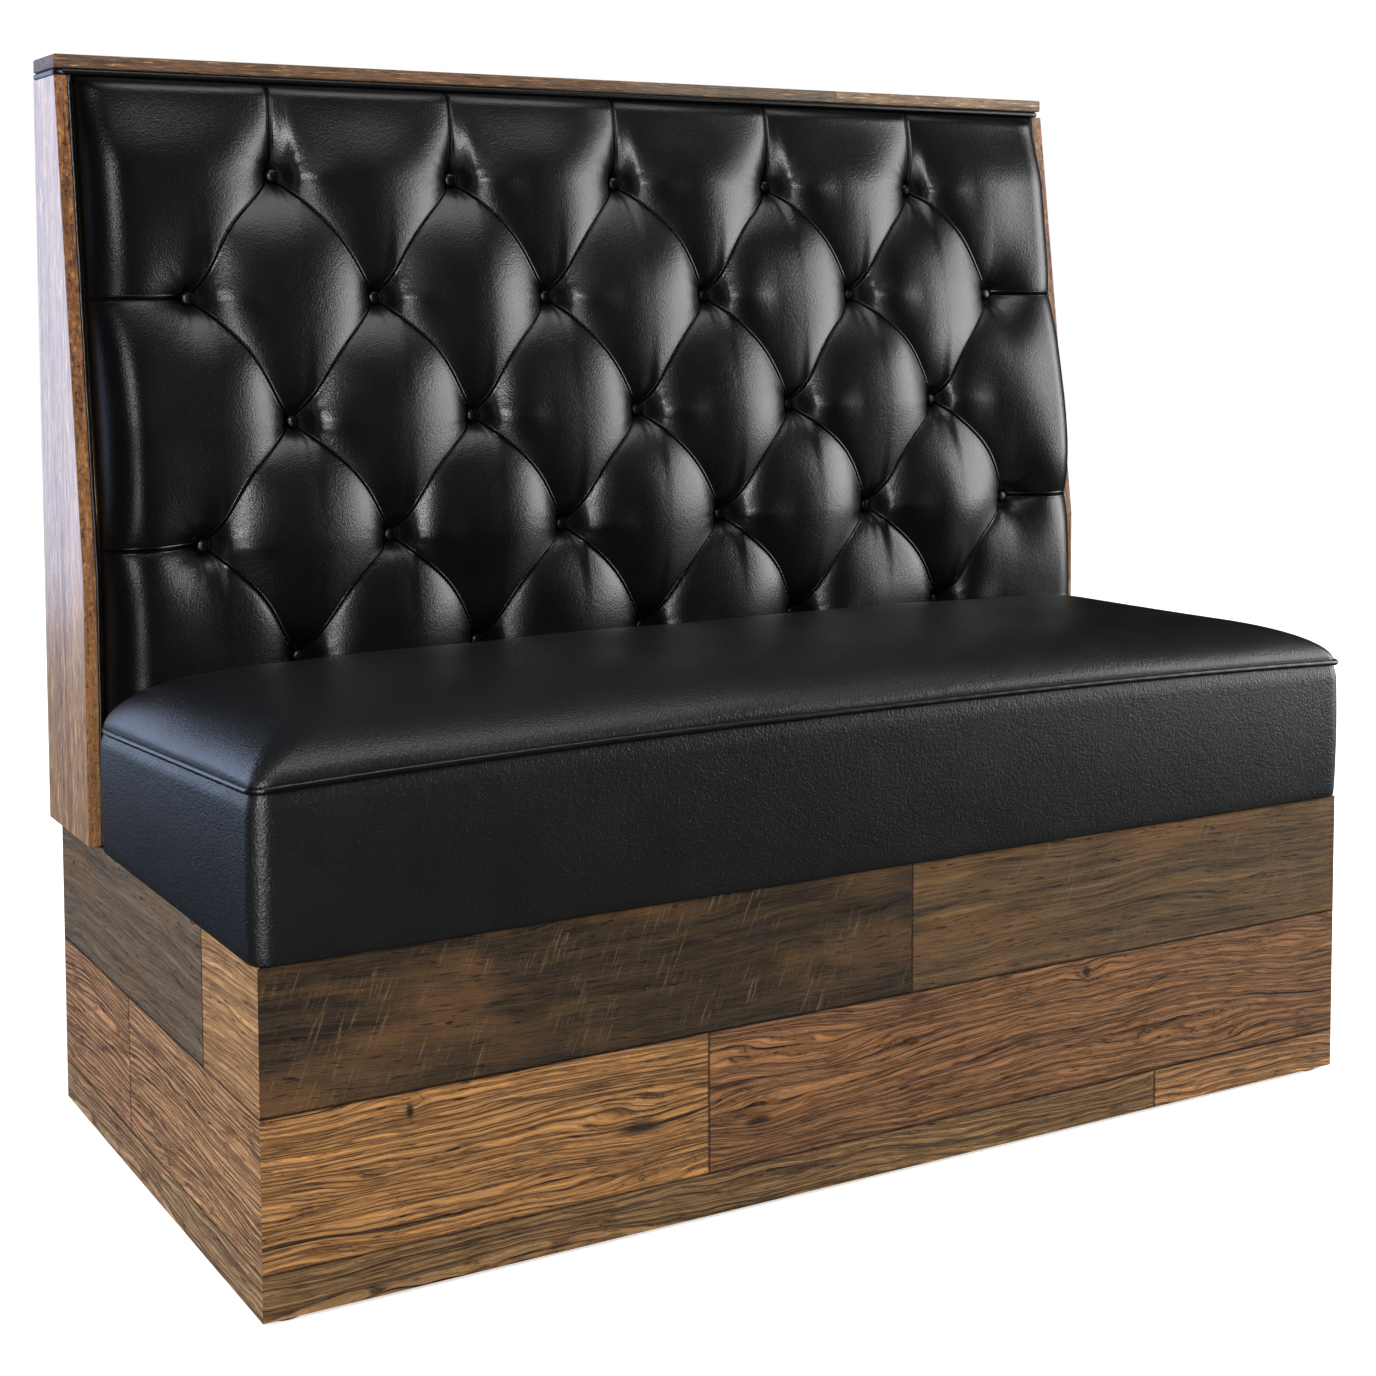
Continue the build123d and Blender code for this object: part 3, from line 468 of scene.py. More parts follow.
def knots_and_cracks(tree, run, rise, lifted):
    """Dark knots with the grain bent round them, and long thin cracks that follow the grain, each
    an ellipse. Gives their darkness and the bent grain."""
    marks = 0.0
    for mark in FRONT_KNOTS:
        reach = ellipse_reach(tree, run, rise, mark)
        knot = add(tree, "MapRange", {"Value": reach, "From Min": 0.3, "From Max": 1.0,
                                      "To Min": 1.0, "To Max": 0.0},
                   interpolation_type="SMOOTHSTEP")
        marks = add(tree, "Math", {0: knot, 1: marks}, operation="MAXIMUM")
        bend = add(tree, "MapRange", {"Value": reach, "From Max": 4.0,
                                      "To Min": 0.4 * mark[2] * MM, "To Max": 0.0},
                   interpolation_type="SMOOTHSTEP")
        lifted = add(tree, "Math", {0: lifted, 1: bend}, operation="ADD")
    for mark in FRONT_CRACKS:
        crack = add(tree, "MapRange", {"Value": ellipse_reach(tree, run, lifted, mark),
                                       "From Min": 0.6, "From Max": 1.0, "To Min": 1.0,
                                       "To Max": 0.0})
        marks = add(tree, "Math", {0: crack, 1: marks}, operation="MAXIMUM")
    return marks, lifted


def grain_noise(tree, grain, along_mm, across_mm, detail=2.0, roughness=0.5):
    """Noise over a grain's own x and y, whose cells are so long along it and so wide across it."""
    lay = add(tree, "Mapping", {"Vector": grain, "Scale": (cells(along_mm), cells(across_mm), 1.0)})
    return add(tree, "TexNoise", {"Vector": lay, "Scale": 1.0, "Detail": detail,
                                  "Roughness": roughness})


def growth_lines(tree, run, lifted, own, spacing_mm, width, broken):
    """Grooves along the growth lines: about so many mm apart, each a share of the spacing wide and
    broken up along its length. Gives their depth, a painted highlight on the raised edge above each
    groove and each band's own number."""
    grain = add(tree, "CombineXYZ", {"X": run, "Y": lifted, "Z": own})
    phase = add(tree, "Math", {0: lifted, 1: cells(spacing_mm), 2: own}, operation="MULTIPLY_ADD")
    uneven = grain_noise(tree, grain, 454.5, 3.03 * spacing_mm)
    phase = add(tree, "Math", {0: (uneven, "Fac"), 1: 2.6, 2: phase}, operation="MULTIPLY_ADD")
    band = add(tree, "Math", {0: phase}, operation="FLOOR")
    across = add(tree, "Math", {0: phase, 1: band}, operation="SUBTRACT")
    line = add(tree, "Math", {0: across, 1: -0.5}, operation="ADD")
    line = add(tree, "Math", {0: line}, operation="ABSOLUTE")
    line = add(tree, "MapRange", {"Value": line, "From Min": 0.5 - width, "From Max": 0.5},
               interpolation_type="SMOOTHSTEP")
    ridge_highlight = add(tree, "MapRange", {"Value": across, "From Min": width * 0.7,
                                   "From Max": width * 0.7 + 0.35, "To Min": 1.0, "To Max": 0.0})
    gaps = grain_noise(tree, grain, 41.67, 1.25 * spacing_mm, detail=3.0)
    gaps = add(tree, "MapRange", {"Value": (gaps, "Fac"), "From Min": broken - 0.07,
                                  "From Max": broken + 0.07})
    line = add(tree, "Math", {0: line, 1: gaps}, operation="MULTIPLY")
    ridge_highlight = add(tree, "Math", {0: ridge_highlight, 1: gaps}, operation="MULTIPLY")
    return line, ridge_highlight, band


def weathered_plates(tree, grain):
    """Short cracks where the worn surface has broken into small plates, 13 by 4.3 mm, in places."""
    plates = add(tree, "Mapping", {"Vector": grain, "Scale": (cells(13.333), cells(4.348), 1.0)})
    plates = add(tree, "TexVoronoi", {"Vector": plates, "Scale": 1.0, "Randomness": 1.0},
                 feature="DISTANCE_TO_EDGE")
    plates = add(tree, "MapRange", {"Value": (plates, "Distance"), "From Max": 0.11,
                                    "To Min": 0.75, "To Max": 0.0})
    worn = add(tree, "TexNoise", {"Vector": grain, "Scale": cells(26.316), "Detail": 3.0})
    worn = add(tree, "MapRange", {"Value": (worn, "Fac"), "From Min": 0.45, "From Max": 0.60})
    return add(tree, "Math", {0: plates, 1: worn}, operation="MULTIPLY")


def saw_scratches(tree, lay, sawn):
    """Scratches of the saw, 38 mm long and 2.6 mm wide, that lean over to the right and stand in
    clusters on the boards that have saw marks."""
    scratch = add(tree, "Mapping", {"Vector": lay, "Rotation": (0.0, 0.0, math.radians(68)),
                                    "Scale": (38 * MM, 2.6 * MM, 1.0)}, vector_type="TEXTURE")
    scratch = add(tree, "TexNoise", {"Vector": scratch, "Scale": 1.0, "Detail": 3.0,
                                     "Roughness": 0.6})
    scratch = add(tree, "MapRange", {"Value": (scratch, "Fac"), "From Min": 0.55,
                                     "From Max": 0.70})
    cluster = add(tree, "TexNoise", {"Vector": lay, "Scale": cells(62.5), "Detail": 3.0})
    cluster = add(tree, "MapRange", {"Value": (cluster, "Fac"), "From Min": 0.42,
                                     "From Max": 0.60})
    for share in (cluster, 0.6, (sawn, "Color")):
        scratch = add(tree, "Math", {0: scratch, 1: share}, operation="MULTIPLY")
    return scratch


def planks_material(side, colours):
    """Reclaimed oak and pine boards under a satin sealer, as a printed and embossed laminate: each
    board has its own tone, deep weathered grooves run along its growth lines, 6 and 3 mm apart,
    and the top course keeps the slanted scratches of the saw. The grooves are darkened partly as
    weathered wood and partly as painted shade, and a painted highlight lights the raised edge
    beside each. The fibre is about 0.2 mm wide; it is drawn at 0.8 mm so that it shows."""
    material, tree, shader = new_material(f"reclaimed_oak_{side}")
    run, rise, length = face_axes(tree, side)
    number, seam = board_numbers(tree, side, run, rise, length)
    light, dark, sawn = board_palettes(tree, side, number)

    # Grain coordinates: along the board, up it as the grain sways, and a depth for each board
    own = add(tree, "Math", {0: number, 1: 3.7}, operation="MULTIPLY")
    lay = add(tree, "CombineXYZ", {"X": run, "Y": rise, "Z": own})
    lifted = rise
    for along_mm, across_mm, reach in ((526.32, 125, 75 * MM), (100, 23.81, 11 * MM)):
        sway = grain_noise(tree, lay, along_mm, across_mm)
        sway = add(tree, "Math", {0: (sway, "Fac"), 1: -0.5}, operation="ADD")
        lifted = add(tree, "Math", {0: sway, 1: reach, 2: lifted}, operation="MULTIPLY_ADD")
    marks = 0.0
    if side == "front":
        marks, lifted = knots_and_cracks(tree, run, rise, lifted)
    grain = add(tree, "CombineXYZ", {"X": run, "Y": lifted, "Z": own})
    grooves, ridge_highlight, band = growth_lines(tree, run, lifted, own, 5.7143, 0.27, 0.46)
    small, crest, _ = growth_lines(tree, run, lifted, own, 3.0303, 0.46, 0.49)
    tone = add(tree, "TexWhiteNoise", {"W": band}, noise_dimensions="1D")
    streaks = grain_noise(tree, grain, 200, 10.526, detail=7.0, roughness=0.7)
    fibre = grain_noise(tree, grain, 22.222, 0.76923, detail=3.0, roughness=0.6)
    dashes = grain_noise(tree, grain, 18.182, 2.381, detail=3.0)
    dashes = add(tree, "MapRange", {"Value": (dashes, "Fac"), "From Min": 0.31, "From Max": 0.38,
                                    "To Min": 1.0, "To Max": 0.0})
    patch = grain_noise(tree, lay, 166.67, 66.667, detail=4.0)
    patch = add(tree, "MapRange", {"Value": (patch, "Fac"), "From Min": 0.50, "From Max": 0.66,
                                   "To Max": 0.5})
    scratch = saw_scratches(tree, lay, sawn)

    # Wood between the grooves, from the board's dark to its light
    level = add(tree, "MapRange", {"Value": (streaks, "Fac"), "From Min": 0.28, "From Max": 0.72})
    level = add(tree, "Math", {0: (fibre, "Fac"), 1: 1.3, 2: level}, operation="MULTIPLY_ADD")
    level = add(tree, "Math", {0: (tone, "Value"), 1: 0.45, 2: level}, operation="MULTIPLY_ADD")
    level = add(tree, "Math", {0: level, 1: -0.86}, operation="ADD")
    colour = add(tree, "Mix", {"Factor": level, "A": dark, "B": light}, data_type="RGBA")
    for factor, mark in ((patch, colours.plank_patch), (scratch, colours.saw_scratch)):
        colour = add(tree, "Mix", {"Factor": factor, "A": (colour, 2), "B": rgba(mark)},
                     data_type="RGBA")

    # Grooves, plates and dashes, which the saw took off the sawn boards, darkened partly as
    # weathered wood and partly as painted shade, and the painted highlights above the grooves
    keep = add(tree, "MapRange", {"Value": (sawn, "Color"), "To Min": 0.95, "To Max": 0.22})
    relief = add(tree, "Math", {0: small, 1: 0.9, 2: grooves}, operation="MULTIPLY_ADD")
    relief = add(tree, "Math", {0: weathered_plates(tree, grain), 1: relief}, operation="MAXIMUM")
    relief = add(tree, "Math", {0: relief, 1: keep}, operation="MULTIPLY")
    relief = add(tree, "Math", {0: dashes, 1: relief}, operation="MAXIMUM")
    relief = add(tree, "Math", {0: relief, 1: 1.0}, operation="MINIMUM")
    # Painted shade in part: the relief's dark colour stands both for weathered wood and for the
    # shade in the grooves
    colour = add(tree, "Mix", {"Factor": relief, "A": (colour, 2),
                               "B": rgba(colours.groove_weathering_and_shade)}, data_type="RGBA")
    # Painted highlight: the raised edges above the coarse and the fine grooves are lightened by
    # adding the board's own light colour
    edge = add(tree, "Math", {0: crest, 1: 0.6, 2: ridge_highlight}, operation="MULTIPLY_ADD")
    for share in (keep, 1.35):
        edge = add(tree, "Math", {0: edge, 1: share}, operation="MULTIPLY")
    pale = add(tree, "Mix", {"Factor": 0.015, "A": light, "B": rgba("#ffffff")}, data_type="RGBA")
    colour = add(tree, "Mix", {"Factor": edge, "A": (colour, 2), "B": (pale, 2)},
                 data_type="RGBA", blend_type="ADD")

    # Joints, knots and cracks
    shade = add(tree, "Math", {0: seam, 1: marks}, operation="MAXIMUM")
    shade = add(tree, "Math", {0: shade, 1: 0.88}, operation="MULTIPLY")
    colour = add(tree, "Mix", {"Factor": shade, "A": (colour, 2), "B": rgba("#120a05")},
                 data_type="RGBA")
    height = add(tree, "Math", {0: relief, 1: -1.0, 2: (fibre, "Fac")}, operation="MULTIPLY_ADD")
    for part, weight in ((shade, -1.3), (scratch, 0.5), ((streaks, "Fac"), 1.2)):
        height = add(tree, "Math", {0: part, 1: weight, 2: height}, operation="MULTIPLY_ADD")
    bump = add(tree, "Bump", {"Height": height, "Strength": 1.0, "Distance": 1.6 * MM})
    gloss = add(tree, "MapRange", {"Value": (streaks, "Fac"), "To Min": 0.66, "To Max": 0.46})
    feed(tree, shader, {"Base Color": (colour, 2), "Normal": bump, "Roughness": gloss,
                        "Specular IOR Level": 0.2})
    return material


def sealed_wood(name, along, stops, flecks, gloss, fleck_mm=2.4, stretch=8.0, board_mm=60.0,
                shift=None, sheen=0.2):
    """Brown wood under a satin sealer: grain along one axis, pale and dark flecks in it that are
    stretch times as long as wide, and slow changes of tone. The sealer gives it a soft sheen at low
    angles, which the open flecks break up. shift is (axis, from, to, colour, share): a change of
    tone along an axis."""
    material, tree, shader = new_material(name)
    where = add(tree, "TexCoord")
    coarse = [cells(0.28 * board_mm)] * 3
    coarse[along] = cells(6 * board_mm)
    lay = add(tree, "Mapping", {"Vector": (where, "Object"), "Scale": coarse})
    grain = add(tree, "TexNoise", {"Vector": lay, "Scale": 1.0, "Detail": 7.0, "Roughness": 0.65,
                                   "Distortion": 0.8})
    close = [cells(fleck_mm)] * 3
    close[along] = cells(fleck_mm * stretch)
    lay = add(tree, "Mapping", {"Vector": (where, "Object"), "Scale": close})
    pores = add(tree, "TexNoise", {"Vector": lay, "Scale": 1.0, "Detail": 5.0, "Roughness": 0.65,
                                   "Distortion": 0.4})
    mixed = add(tree, "Math", {0: (pores, "Fac"), 1: 0.8, 2: (grain, "Fac")},
                operation="MULTIPLY_ADD")
    mixed = add(tree, "MapRange", {"Value": mixed, "From Min": 0.62, "From Max": 1.18})
    tone = ramp(add(tree, "ValToRGB", {"Fac": mixed}), stops)
    if shift:
        axis, start, stop, colour, share = shift
        axes = add(tree, "SeparateXYZ", {"Vector": (where, "Object")})
        part = add(tree, "MapRange", {"Value": (axes, axis), "From Min": start, "From Max": stop,
                                      "To Max": share})
        tone = (add(tree, "Mix", {"Factor": part, "A": tone, "B": rgba(colour)},
                    data_type="RGBA"), 2)
    pale = add(tree, "MapRange", {"Value": (pores, "Fac"), "From Min": 0.58, "From Max": 0.66,
                                  "To Max": 0.75})
    dark = add(tree, "MapRange", {"Value": (pores, "Fac"), "From Min": 0.42, "From Max": 0.35,
                                  "To Max": 0.85})
    for part, colour in zip((pale, dark), flecks):
        tone = (add(tree, "Mix", {"Factor": part, "A": tone, "B": rgba(colour)},
                    data_type="RGBA"), 2)
    bump = add(tree, "Bump", {"Height": mixed, "Strength": 1.0, "Distance": 1.9 * MM})
    rough = add(tree, "MapRange", {"Value": mixed, "To Min": gloss + 0.22, "To Max": gloss - 0.06})
    feed(tree, shader, {"Base Color": tone, "Normal": bump, "Roughness": rough,
                        "Coat Weight": sheen, "Coat Roughness": 0.3})
    return material


# Upholstery

def side_line(z):
    """Front edge of a side panel: upright to its knee, then a straight lean back to its top."""
    knee = BASE_TOP + PANEL_KNEE_RISE
    lean = (PANEL_FOOT_DEPTH - PANEL_TOP_DEPTH) / (PANEL_TOP - knee)
    return REAR_Y - PANEL_FOOT_DEPTH + np.maximum(0, z - knee) * lean


def board_line(z):
    """Front face of the back boards: upright to the knee, then a lean back to the top. The knee is
    eased as lean * b ln(1 + e^((z - knee) / b)), since the padding over it carries no edge."""
    ease = 24 * MM
    return LOWER_BOARD_LOW.y + BOARD_LEAN * ease * np.log1p(np.exp((z - KNEE_Z) / ease))


def row_number(z):
    """Height as a number of rows from the lowest row of buttons, held at the lowest and the highest
    row."""
    return np.interp(z, BASE_TOP + ROW_RISES, np.arange(len(ROW_RISES)))


def button_centres(sizes):
    """Each row's button places on the padded back, as arrays of x, with the row's y and z."""
    rows = []
    for row, z in enumerate(BASE_TOP + ROW_RISES):
        count = 5 + row % 2
        x = sizes.button_pitch * (np.arange(count) - (count - 1) / 2)
        rows.append((x, float(board_line(z)) - PAD_DEPTHS[row], float(z)))
    return rows


def pleat_counts(x, z, sizes):
    """Two counts of pleats over the back, whole on each pleat and both whole at each button: one
    for the pleats that run down to the right, x / pitch + rows / 2, one for those that run up to
    the right, x / pitch - rows / 2. Each pleat bows upwards between its buttons by a share of the
    pitch times sin^2 of pi times the other count. Outside the last buttons x and z are held, which
    turns the pleats level and upright; x is held gently between the rows that have end buttons."""
    pitch = sizes.button_pitch
    rows = row_number(z)
    ease = (1 + 38 * np.sin(np.pi / 2 * (rows - 1)) ** 2) * MM
    past = np.log1p(np.exp((np.abs(x) - END_BUTTONS * pitch) / ease))
    held = x - np.sign(x) * ease * past
    falling = held / pitch + rows / 2
    rising = held / pitch - rows / 2
    bow = 0.048 + 0.010 * waves(x, z, 0.35, 11)
    return (falling - bow * np.sin(np.pi * rising) ** 2,
            rising + bow * np.sin(np.pi * falling) ** 2)


def tuft_height(x, z, sizes):
    """How far the cover stands in front of its buttons, as a share of the crown: m (F + G) +
    (1 - 2 m) F G, where F and G are |sin pi n| ^ 0.72 of the two pleat counts. It is nought at a
    button, m = 0.62 midway along a pleat and one at the middle of a diamond. Outside the last
    buttons the pleats grow shallower."""
    one, other = (np.abs(np.sin(np.pi * count)) ** 0.72 for count in pleat_counts(x, z, sizes))
    share = 0.62 * (one + other) - 0.24 * one * other
    beyond = np.clip((np.abs(x) - END_BUTTONS * sizes.button_pitch) / (60 * MM), 0, 1)
    over = np.clip((z - BASE_TOP - ROW_RISES[-1]) / (85 * MM), 0, 1)
    rise = 0.55 * np.sin(np.pi / 2 * np.maximum(beyond, over)) ** 1.5
    return 1 - (1 - share) * (1 - rise)


def button_gather(right, up, seed, crested):
    """What a button adds to the cover's depth at a distance to its right and over it: a dimple
    9 mm e^(-(r / 12 mm)^2), fine folds 0.5 mm deep that fan out from it as sines of the angle, and,
    where crested, a level crest of gathered vinyl 11 mm high that starts 8 to 20 mm to its right
    and runs out over 26 to 80 mm."""
    away, turn = np.hypot(right, up), np.arctan2(up, right)
    draw = np.random.default_rng(seed)
    folds = sum(weight * np.sin(n * turn + draw.uniform(0, 2 * np.pi))
                for n, weight in ((7, 0.6), (11, 0.8), (17, 0.5)))
    reach = smooth_step(away, 6 * MM, 16 * MM) * np.exp(-(away / (26 * MM)) ** 2)
    depth = 9 * MM * np.exp(-(away / (12 * MM)) ** 2) - 0.5 * MM * folds * reach
    if crested:
        along = smooth_step(right, 8 * MM, 20 * MM) * (1 - smooth_step(right, 26 * MM, 80 * MM))
        depth = depth - 11 * MM * along * np.exp(-np.hypot(up, 5 * MM) / (24 * MM))
    return depth


def back_surface(sizes, step):
    """The padded back's front: y(x, z) = board line - pad under the buttons - crown share, with a
    roll of quarter-round section at its edges, 36 mm wide at the side panels' front edges and 14 mm
    under the cap."""
    half, low, high = BACK_HIGH.x, BACK_LOW.z, BACK_HIGH.z
    x, z = np.meshgrid(np.linspace(-half, half, int(2 * half / step)),
                       np.linspace(low, high, int((high - low) / step)))
    crown = sizes.tuft_crown * (1 + 0.04 * waves(x, z, 0.16, 5))
    pad = np.interp(z, BASE_TOP + ROW_RISES, PAD_DEPTHS)
    top_fade = smooth_step(z, BASE_TOP + ROW_RISES[-1], high)
    front = board_line(z) - pad - crown * tuft_height(x, z, sizes) * (1 - 0.45 * top_fade)
    for row, (places, _, level) in enumerate(button_centres(sizes)):
        for k, place in enumerate(places):
            crested = place < (END_BUTTONS - 0.1) * sizes.button_pitch
            front = front + button_gather(x - place, z - level, 100 * row + k, crested)
    side_roll, top_roll = 36 * MM, 14 * MM
    edge = side_line(z) + 2 * MM
    off = np.minimum(half - np.abs(x), side_roll) / side_roll
    front = edge + (front - edge) * np.sqrt(np.clip(1 - (1 - off) ** 2, 0, 1))
    rim = board_line(z) - 10 * MM
    off = np.clip((high - z) / top_roll, 0, 1)
    front = rim + (front - rim) * (0.2 + 0.8 * np.sqrt(1 - (1 - off) ** 2))
    return x, front, z


def back_piece(sizes, step):
    """The back's front surface, closed by a rim to the boards and by a plain rear along them."""
    x, y, z = back_surface(sizes, step)
    rows, columns = x.shape
    front = np.stack([x, y, z], axis=-1).reshape(-1, 3)
    # The edge runs along the foot, up the right side, back along the top and down the left side
    index = np.arange(rows * columns).reshape(rows, columns)
    edge = np.concatenate([index[0, :], index[1:, -1], index[-1, -2::-1], index[-2:0:-1, 0]])
    rear = front[edge].copy()
    rear[:, 1] = board_line(rear[:, 2]) - 0.6 * MM
    rear_index = len(front) + np.arange(len(edge))
    rim = np.stack([edge, rear_index, np.roll(rear_index, -1), np.roll(edge, -1)], axis=-1)
    faces = grid_faces(rows, columns).tolist() + rim.tolist()
    # The rear is a quad from the left side to the right at each level, with a face at either end
    # that takes in the points along the foot or the top
    right = rear_index[columns - 1:columns - 1 + rows]
    left = np.concatenate([rear_index[:1], rear_index[:-rows:-1]])
    faces += np.stack([left[1:-2], left[2:-1], right[2:-1], right[1:-2]], axis=-1).tolist()
    top_start = columns + rows - 2
    foot = np.concatenate([rear_index[:columns], right[1:2], left[1:2]])
    top = np.concatenate([rear_index[top_start:top_start + columns], left[-2:-1], right[-2:-1]])
    faces += [foot[::-1].tolist(), top[::-1].tolist()]
    return np.concatenate([front, rear]), faces


def seat_outline(samples):
    """Points round a rounded rectangle, as the corner centre's share of each half size and the
    normal: the outline at inset d and radius r is core * (half - d - r) + r * normal."""
    long, short, bend = samples
    parts = []
    for turn in range(4):
        side = np.linspace(-1, 1, (long, short)[turn % 2], endpoint=False)
        ahead = np.pi / 2 * (turn - 1)
        normal = np.array([np.cos(ahead), np.sin(ahead)])
        along = np.array([-normal[1], normal[0]])
        core = normal[None, :] + side[:, None] * along[None, :]
        parts.append(np.concatenate([core, np.broadcast_to(normal, core.shape)], axis=1))
        swing = ahead + np.linspace(0, np.pi / 2, bend, endpoint=False)
        corner = np.broadcast_to(normal + along, (bend, 2))
        parts.append(np.column_stack([corner, np.cos(swing), np.sin(swing)]))
    return np.concatenate(parts)


def seat_fall(y):
    """Share of the way from the seat's front to its rear."""
    return (y - SEAT_LOW.y) / (SEAT_HIGH.y - SEAT_LOW.y)


def welt_level(x, y):
    """Height of the seat's welt: a plane that falls by 25 mm to the rear, bowed up by 9.5 mm at the
    middle of the seat's width."""
    bow = 1 - np.clip(np.abs(x) / SEAT_HALF[0], 0, 1) ** 2.5
    return BASE_TOP + (143.5 - 25 * seat_fall(y)) * MM + 9.5 * MM * bow


def seat_points(sizes, samples):
    """The seat as one closed surface of rings: inset along its underside, round its lower edge, up
    its boxing, and in over its crown to its middle line. At a share s of its height the boxing bows
    out by 2 mm (sin pi s) ^ 0.8, and draws in under the welt. The crown rises by
    H (1 - (1 - d / reach) ^ 2.6) ^ 0.51 at distance d from the welt, where H grows by 19 mm to the
    rear, and its corners open up over the same reach."""
    outline = seat_outline(samples)
    base = BASE_TOP + 0.1 * MM
    limit = SEAT_HALF[1] - 2 * MM
    boxing_inset, edge_radius, crown_inset = 2 * MM, 2.5 * MM, 3 * MM
    corner_radius, corner_opening = 17 * MM, 40 * MM
    rings = [("under", d, 0.0) for d in np.linspace(limit, 7 * MM, 10)]
    rings += [("edge", boxing_inset + edge_radius * (1 - math.sin(a)),
               edge_radius * (1 - math.cos(a))) for a in np.linspace(0, math.pi / 2, 5)]
    rings += [("boxing", boxing_inset, share) for share in np.linspace(0.06, 1, 34)]
    travel = np.concatenate([np.linspace(0.6, 12, 8), np.geomspace(15, limit / MM - 3, 46)]) * MM
    rings += [("crown", d, min(d / sizes.crown_reach, 1.0)) for d in travel]
    layers = []
    for kind, d, value in rings:
        radius = corner_radius
        if kind == "crown":
            radius += value * corner_opening
            d += crown_inset
        radius = min(radius, SEAT_HALF[1] - d - 0.5 * MM)
        flat = outline[:, :2] * (SEAT_HALF - d - radius) + radius * outline[:, 2:]
        x, y = flat[:, 0], flat[:, 1] + SEAT_MIDDLE_Y
        seam = welt_level(x, y)
        if kind == "crown":
            height = sizes.seat_crown + 19 * MM * np.clip(seat_fall(y), 0, 1)
            z = seam + height * (1 - (1 - value) ** 2.6) ** 0.51
        elif kind == "boxing":
            z = base + value * (seam - base)
            bow = 2 * MM * math.sin(math.pi * value) ** 0.8 - 30 * MM * max(0.0, value - 0.9)
            x, y = x + bow * outline[:, 2], y + bow * outline[:, 3]
        else:
            z = np.full(x.shape, base + value)
        layers.append(np.stack([x, y, z], axis=-1))
    return np.stack(layers)


def middle_strip(count, samples, start, turned):
    """Quads that close a ring of the seat's outline across its narrow way: point i is opposite the
    point 2 long + short + 2 bend - i, as counted round the outline."""
    long, short, bend = samples
    total = 2 * long + short + 2 * bend
    faces = []
    for i in range(total // 2 - count // 2, total // 2):
        loop = [i % count, (i + 1) % count, (total - i - 1) % count, (total - i) % count]
        loop = list(dict.fromkeys(loop))
        faces.append([start + k for k in (loop[::-1] if turned else loop)])
    return faces


def seat_piece(sizes, samples):
    """Rings of the seat joined by quads, with a strip of quads along both middle lines, and shallow
    hollows over the crown."""
    points = seat_points(sizes, samples)
    levels, count = points.shape[:2]
    x, y, z = points[..., 0], points[..., 1], points[..., 2]
    over = np.clip((z - welt_level(x, y)) / (6 * MM), 0, 1)
    z = z + 0.7 * MM * over * waves(x, y, 0.24, 3)
    faces = grid_faces(levels, count, wrap_columns=True).tolist()
    faces += middle_strip(count, samples, 0, True)
    faces += middle_strip(count, samples, (levels - 1) * count, False)
    return np.stack([x, y, z], axis=-1).reshape(-1, 3), faces


def dome_piece(places, radius, height, normal):
    """Covered buttons: a dome z = h (1 - (r / R) ^ 2.6) ^ (1 / 2) over a rim 1.8 mm deep, turned to
    the normal."""
    share = np.array([0.0, 0.25, 0.45, 0.62, 0.76, 0.87, 0.95, 0.99, 1.0, 0.97, 0.0])
    rise = height * np.sqrt(np.clip(1 - share ** 2.6, 0, 1))
    rise[-2:] = -1.8 * MM
    sides = 28
    spin = np.linspace(0, 2 * np.pi, sides, endpoint=False)[None, :, None]
    side = np.array([1.0, 0.0, 0.0])
    up = np.cross(normal, side)
    ring = (radius * share[:, None, None] * (np.cos(spin) * side + np.sin(spin) * up)
            + rise[:, None, None] * normal)
    # The tip and the rear are closed by very small rings
    tip = 0.02
    ring[0] = rise[0] * normal + tip * (ring[1] - rise[1] * normal)
    ring[-1] = rise[-1] * normal + tip * (ring[-2] - rise[-2] * normal)
    points, faces = [], []
    for k, place in enumerate(places):
        start = k * len(share) * sides
        points.append(ring.reshape(-1, 3) + np.asarray(place))
        faces += grid_faces(len(share), sides, wrap_columns=True, start=start).tolist()
        faces += ring_caps(start, start + (len(share) - 1) * sides, sides)
    return np.concatenate(points), faces


def seat_welt_path(samples):
    """The welt's line: the seat's outline just outside its seam, from one rear corner round the
    front to the other, drawn in by 4 mm where it runs in behind the side panels."""
    outline = seat_outline(samples)
    radius, sunk, tuck = 18 * MM, 2.5 * MM, 4 * MM
    flat = outline[:, :2] * (SEAT_HALF - radius) + (radius - sunk) * outline[:, 2:]
    # The outline starts at the front's left end; its rear side comes after front, corner and side
    long, short, bend = samples
    rear_start = long + bend + short + bend // 2
    rear_end = rear_start + bend + long
    flat = np.concatenate([flat[rear_end:], flat[:rear_start]])
    x, y = flat[:, 0], flat[:, 1] + SEAT_MIDDLE_Y
    panel_edge = REAR_Y - PANEL_FOOT_DEPTH
    x = x - np.sign(x) * tuck * smooth_step(y, panel_edge - 55 * MM, panel_edge - 6 * MM)
    return np.stack([x, y, welt_level(x, y)], axis=-1)


class BOOTH_OT_seat(bpy.types.Operator):
    """Builds the seat cushion over its foam"""
    bl_idname = "booth.seat"
    bl_label = "Seat cushion"

    def execute(self, context):
        points, faces = seat_piece(context.scene.booth_sizes, SEAT_SAMPLES)
        piece = mesh_piece("seat_cushion", points, faces)
        finish_with(piece, vinyl("seat_vinyl", context.scene.booth_colours.seat_vinyl,
                                 satin=0.36, relief=0.6))
        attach(piece, "booth")
        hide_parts("seat_cover", "seat_foam")
        return {"FINISHED"}


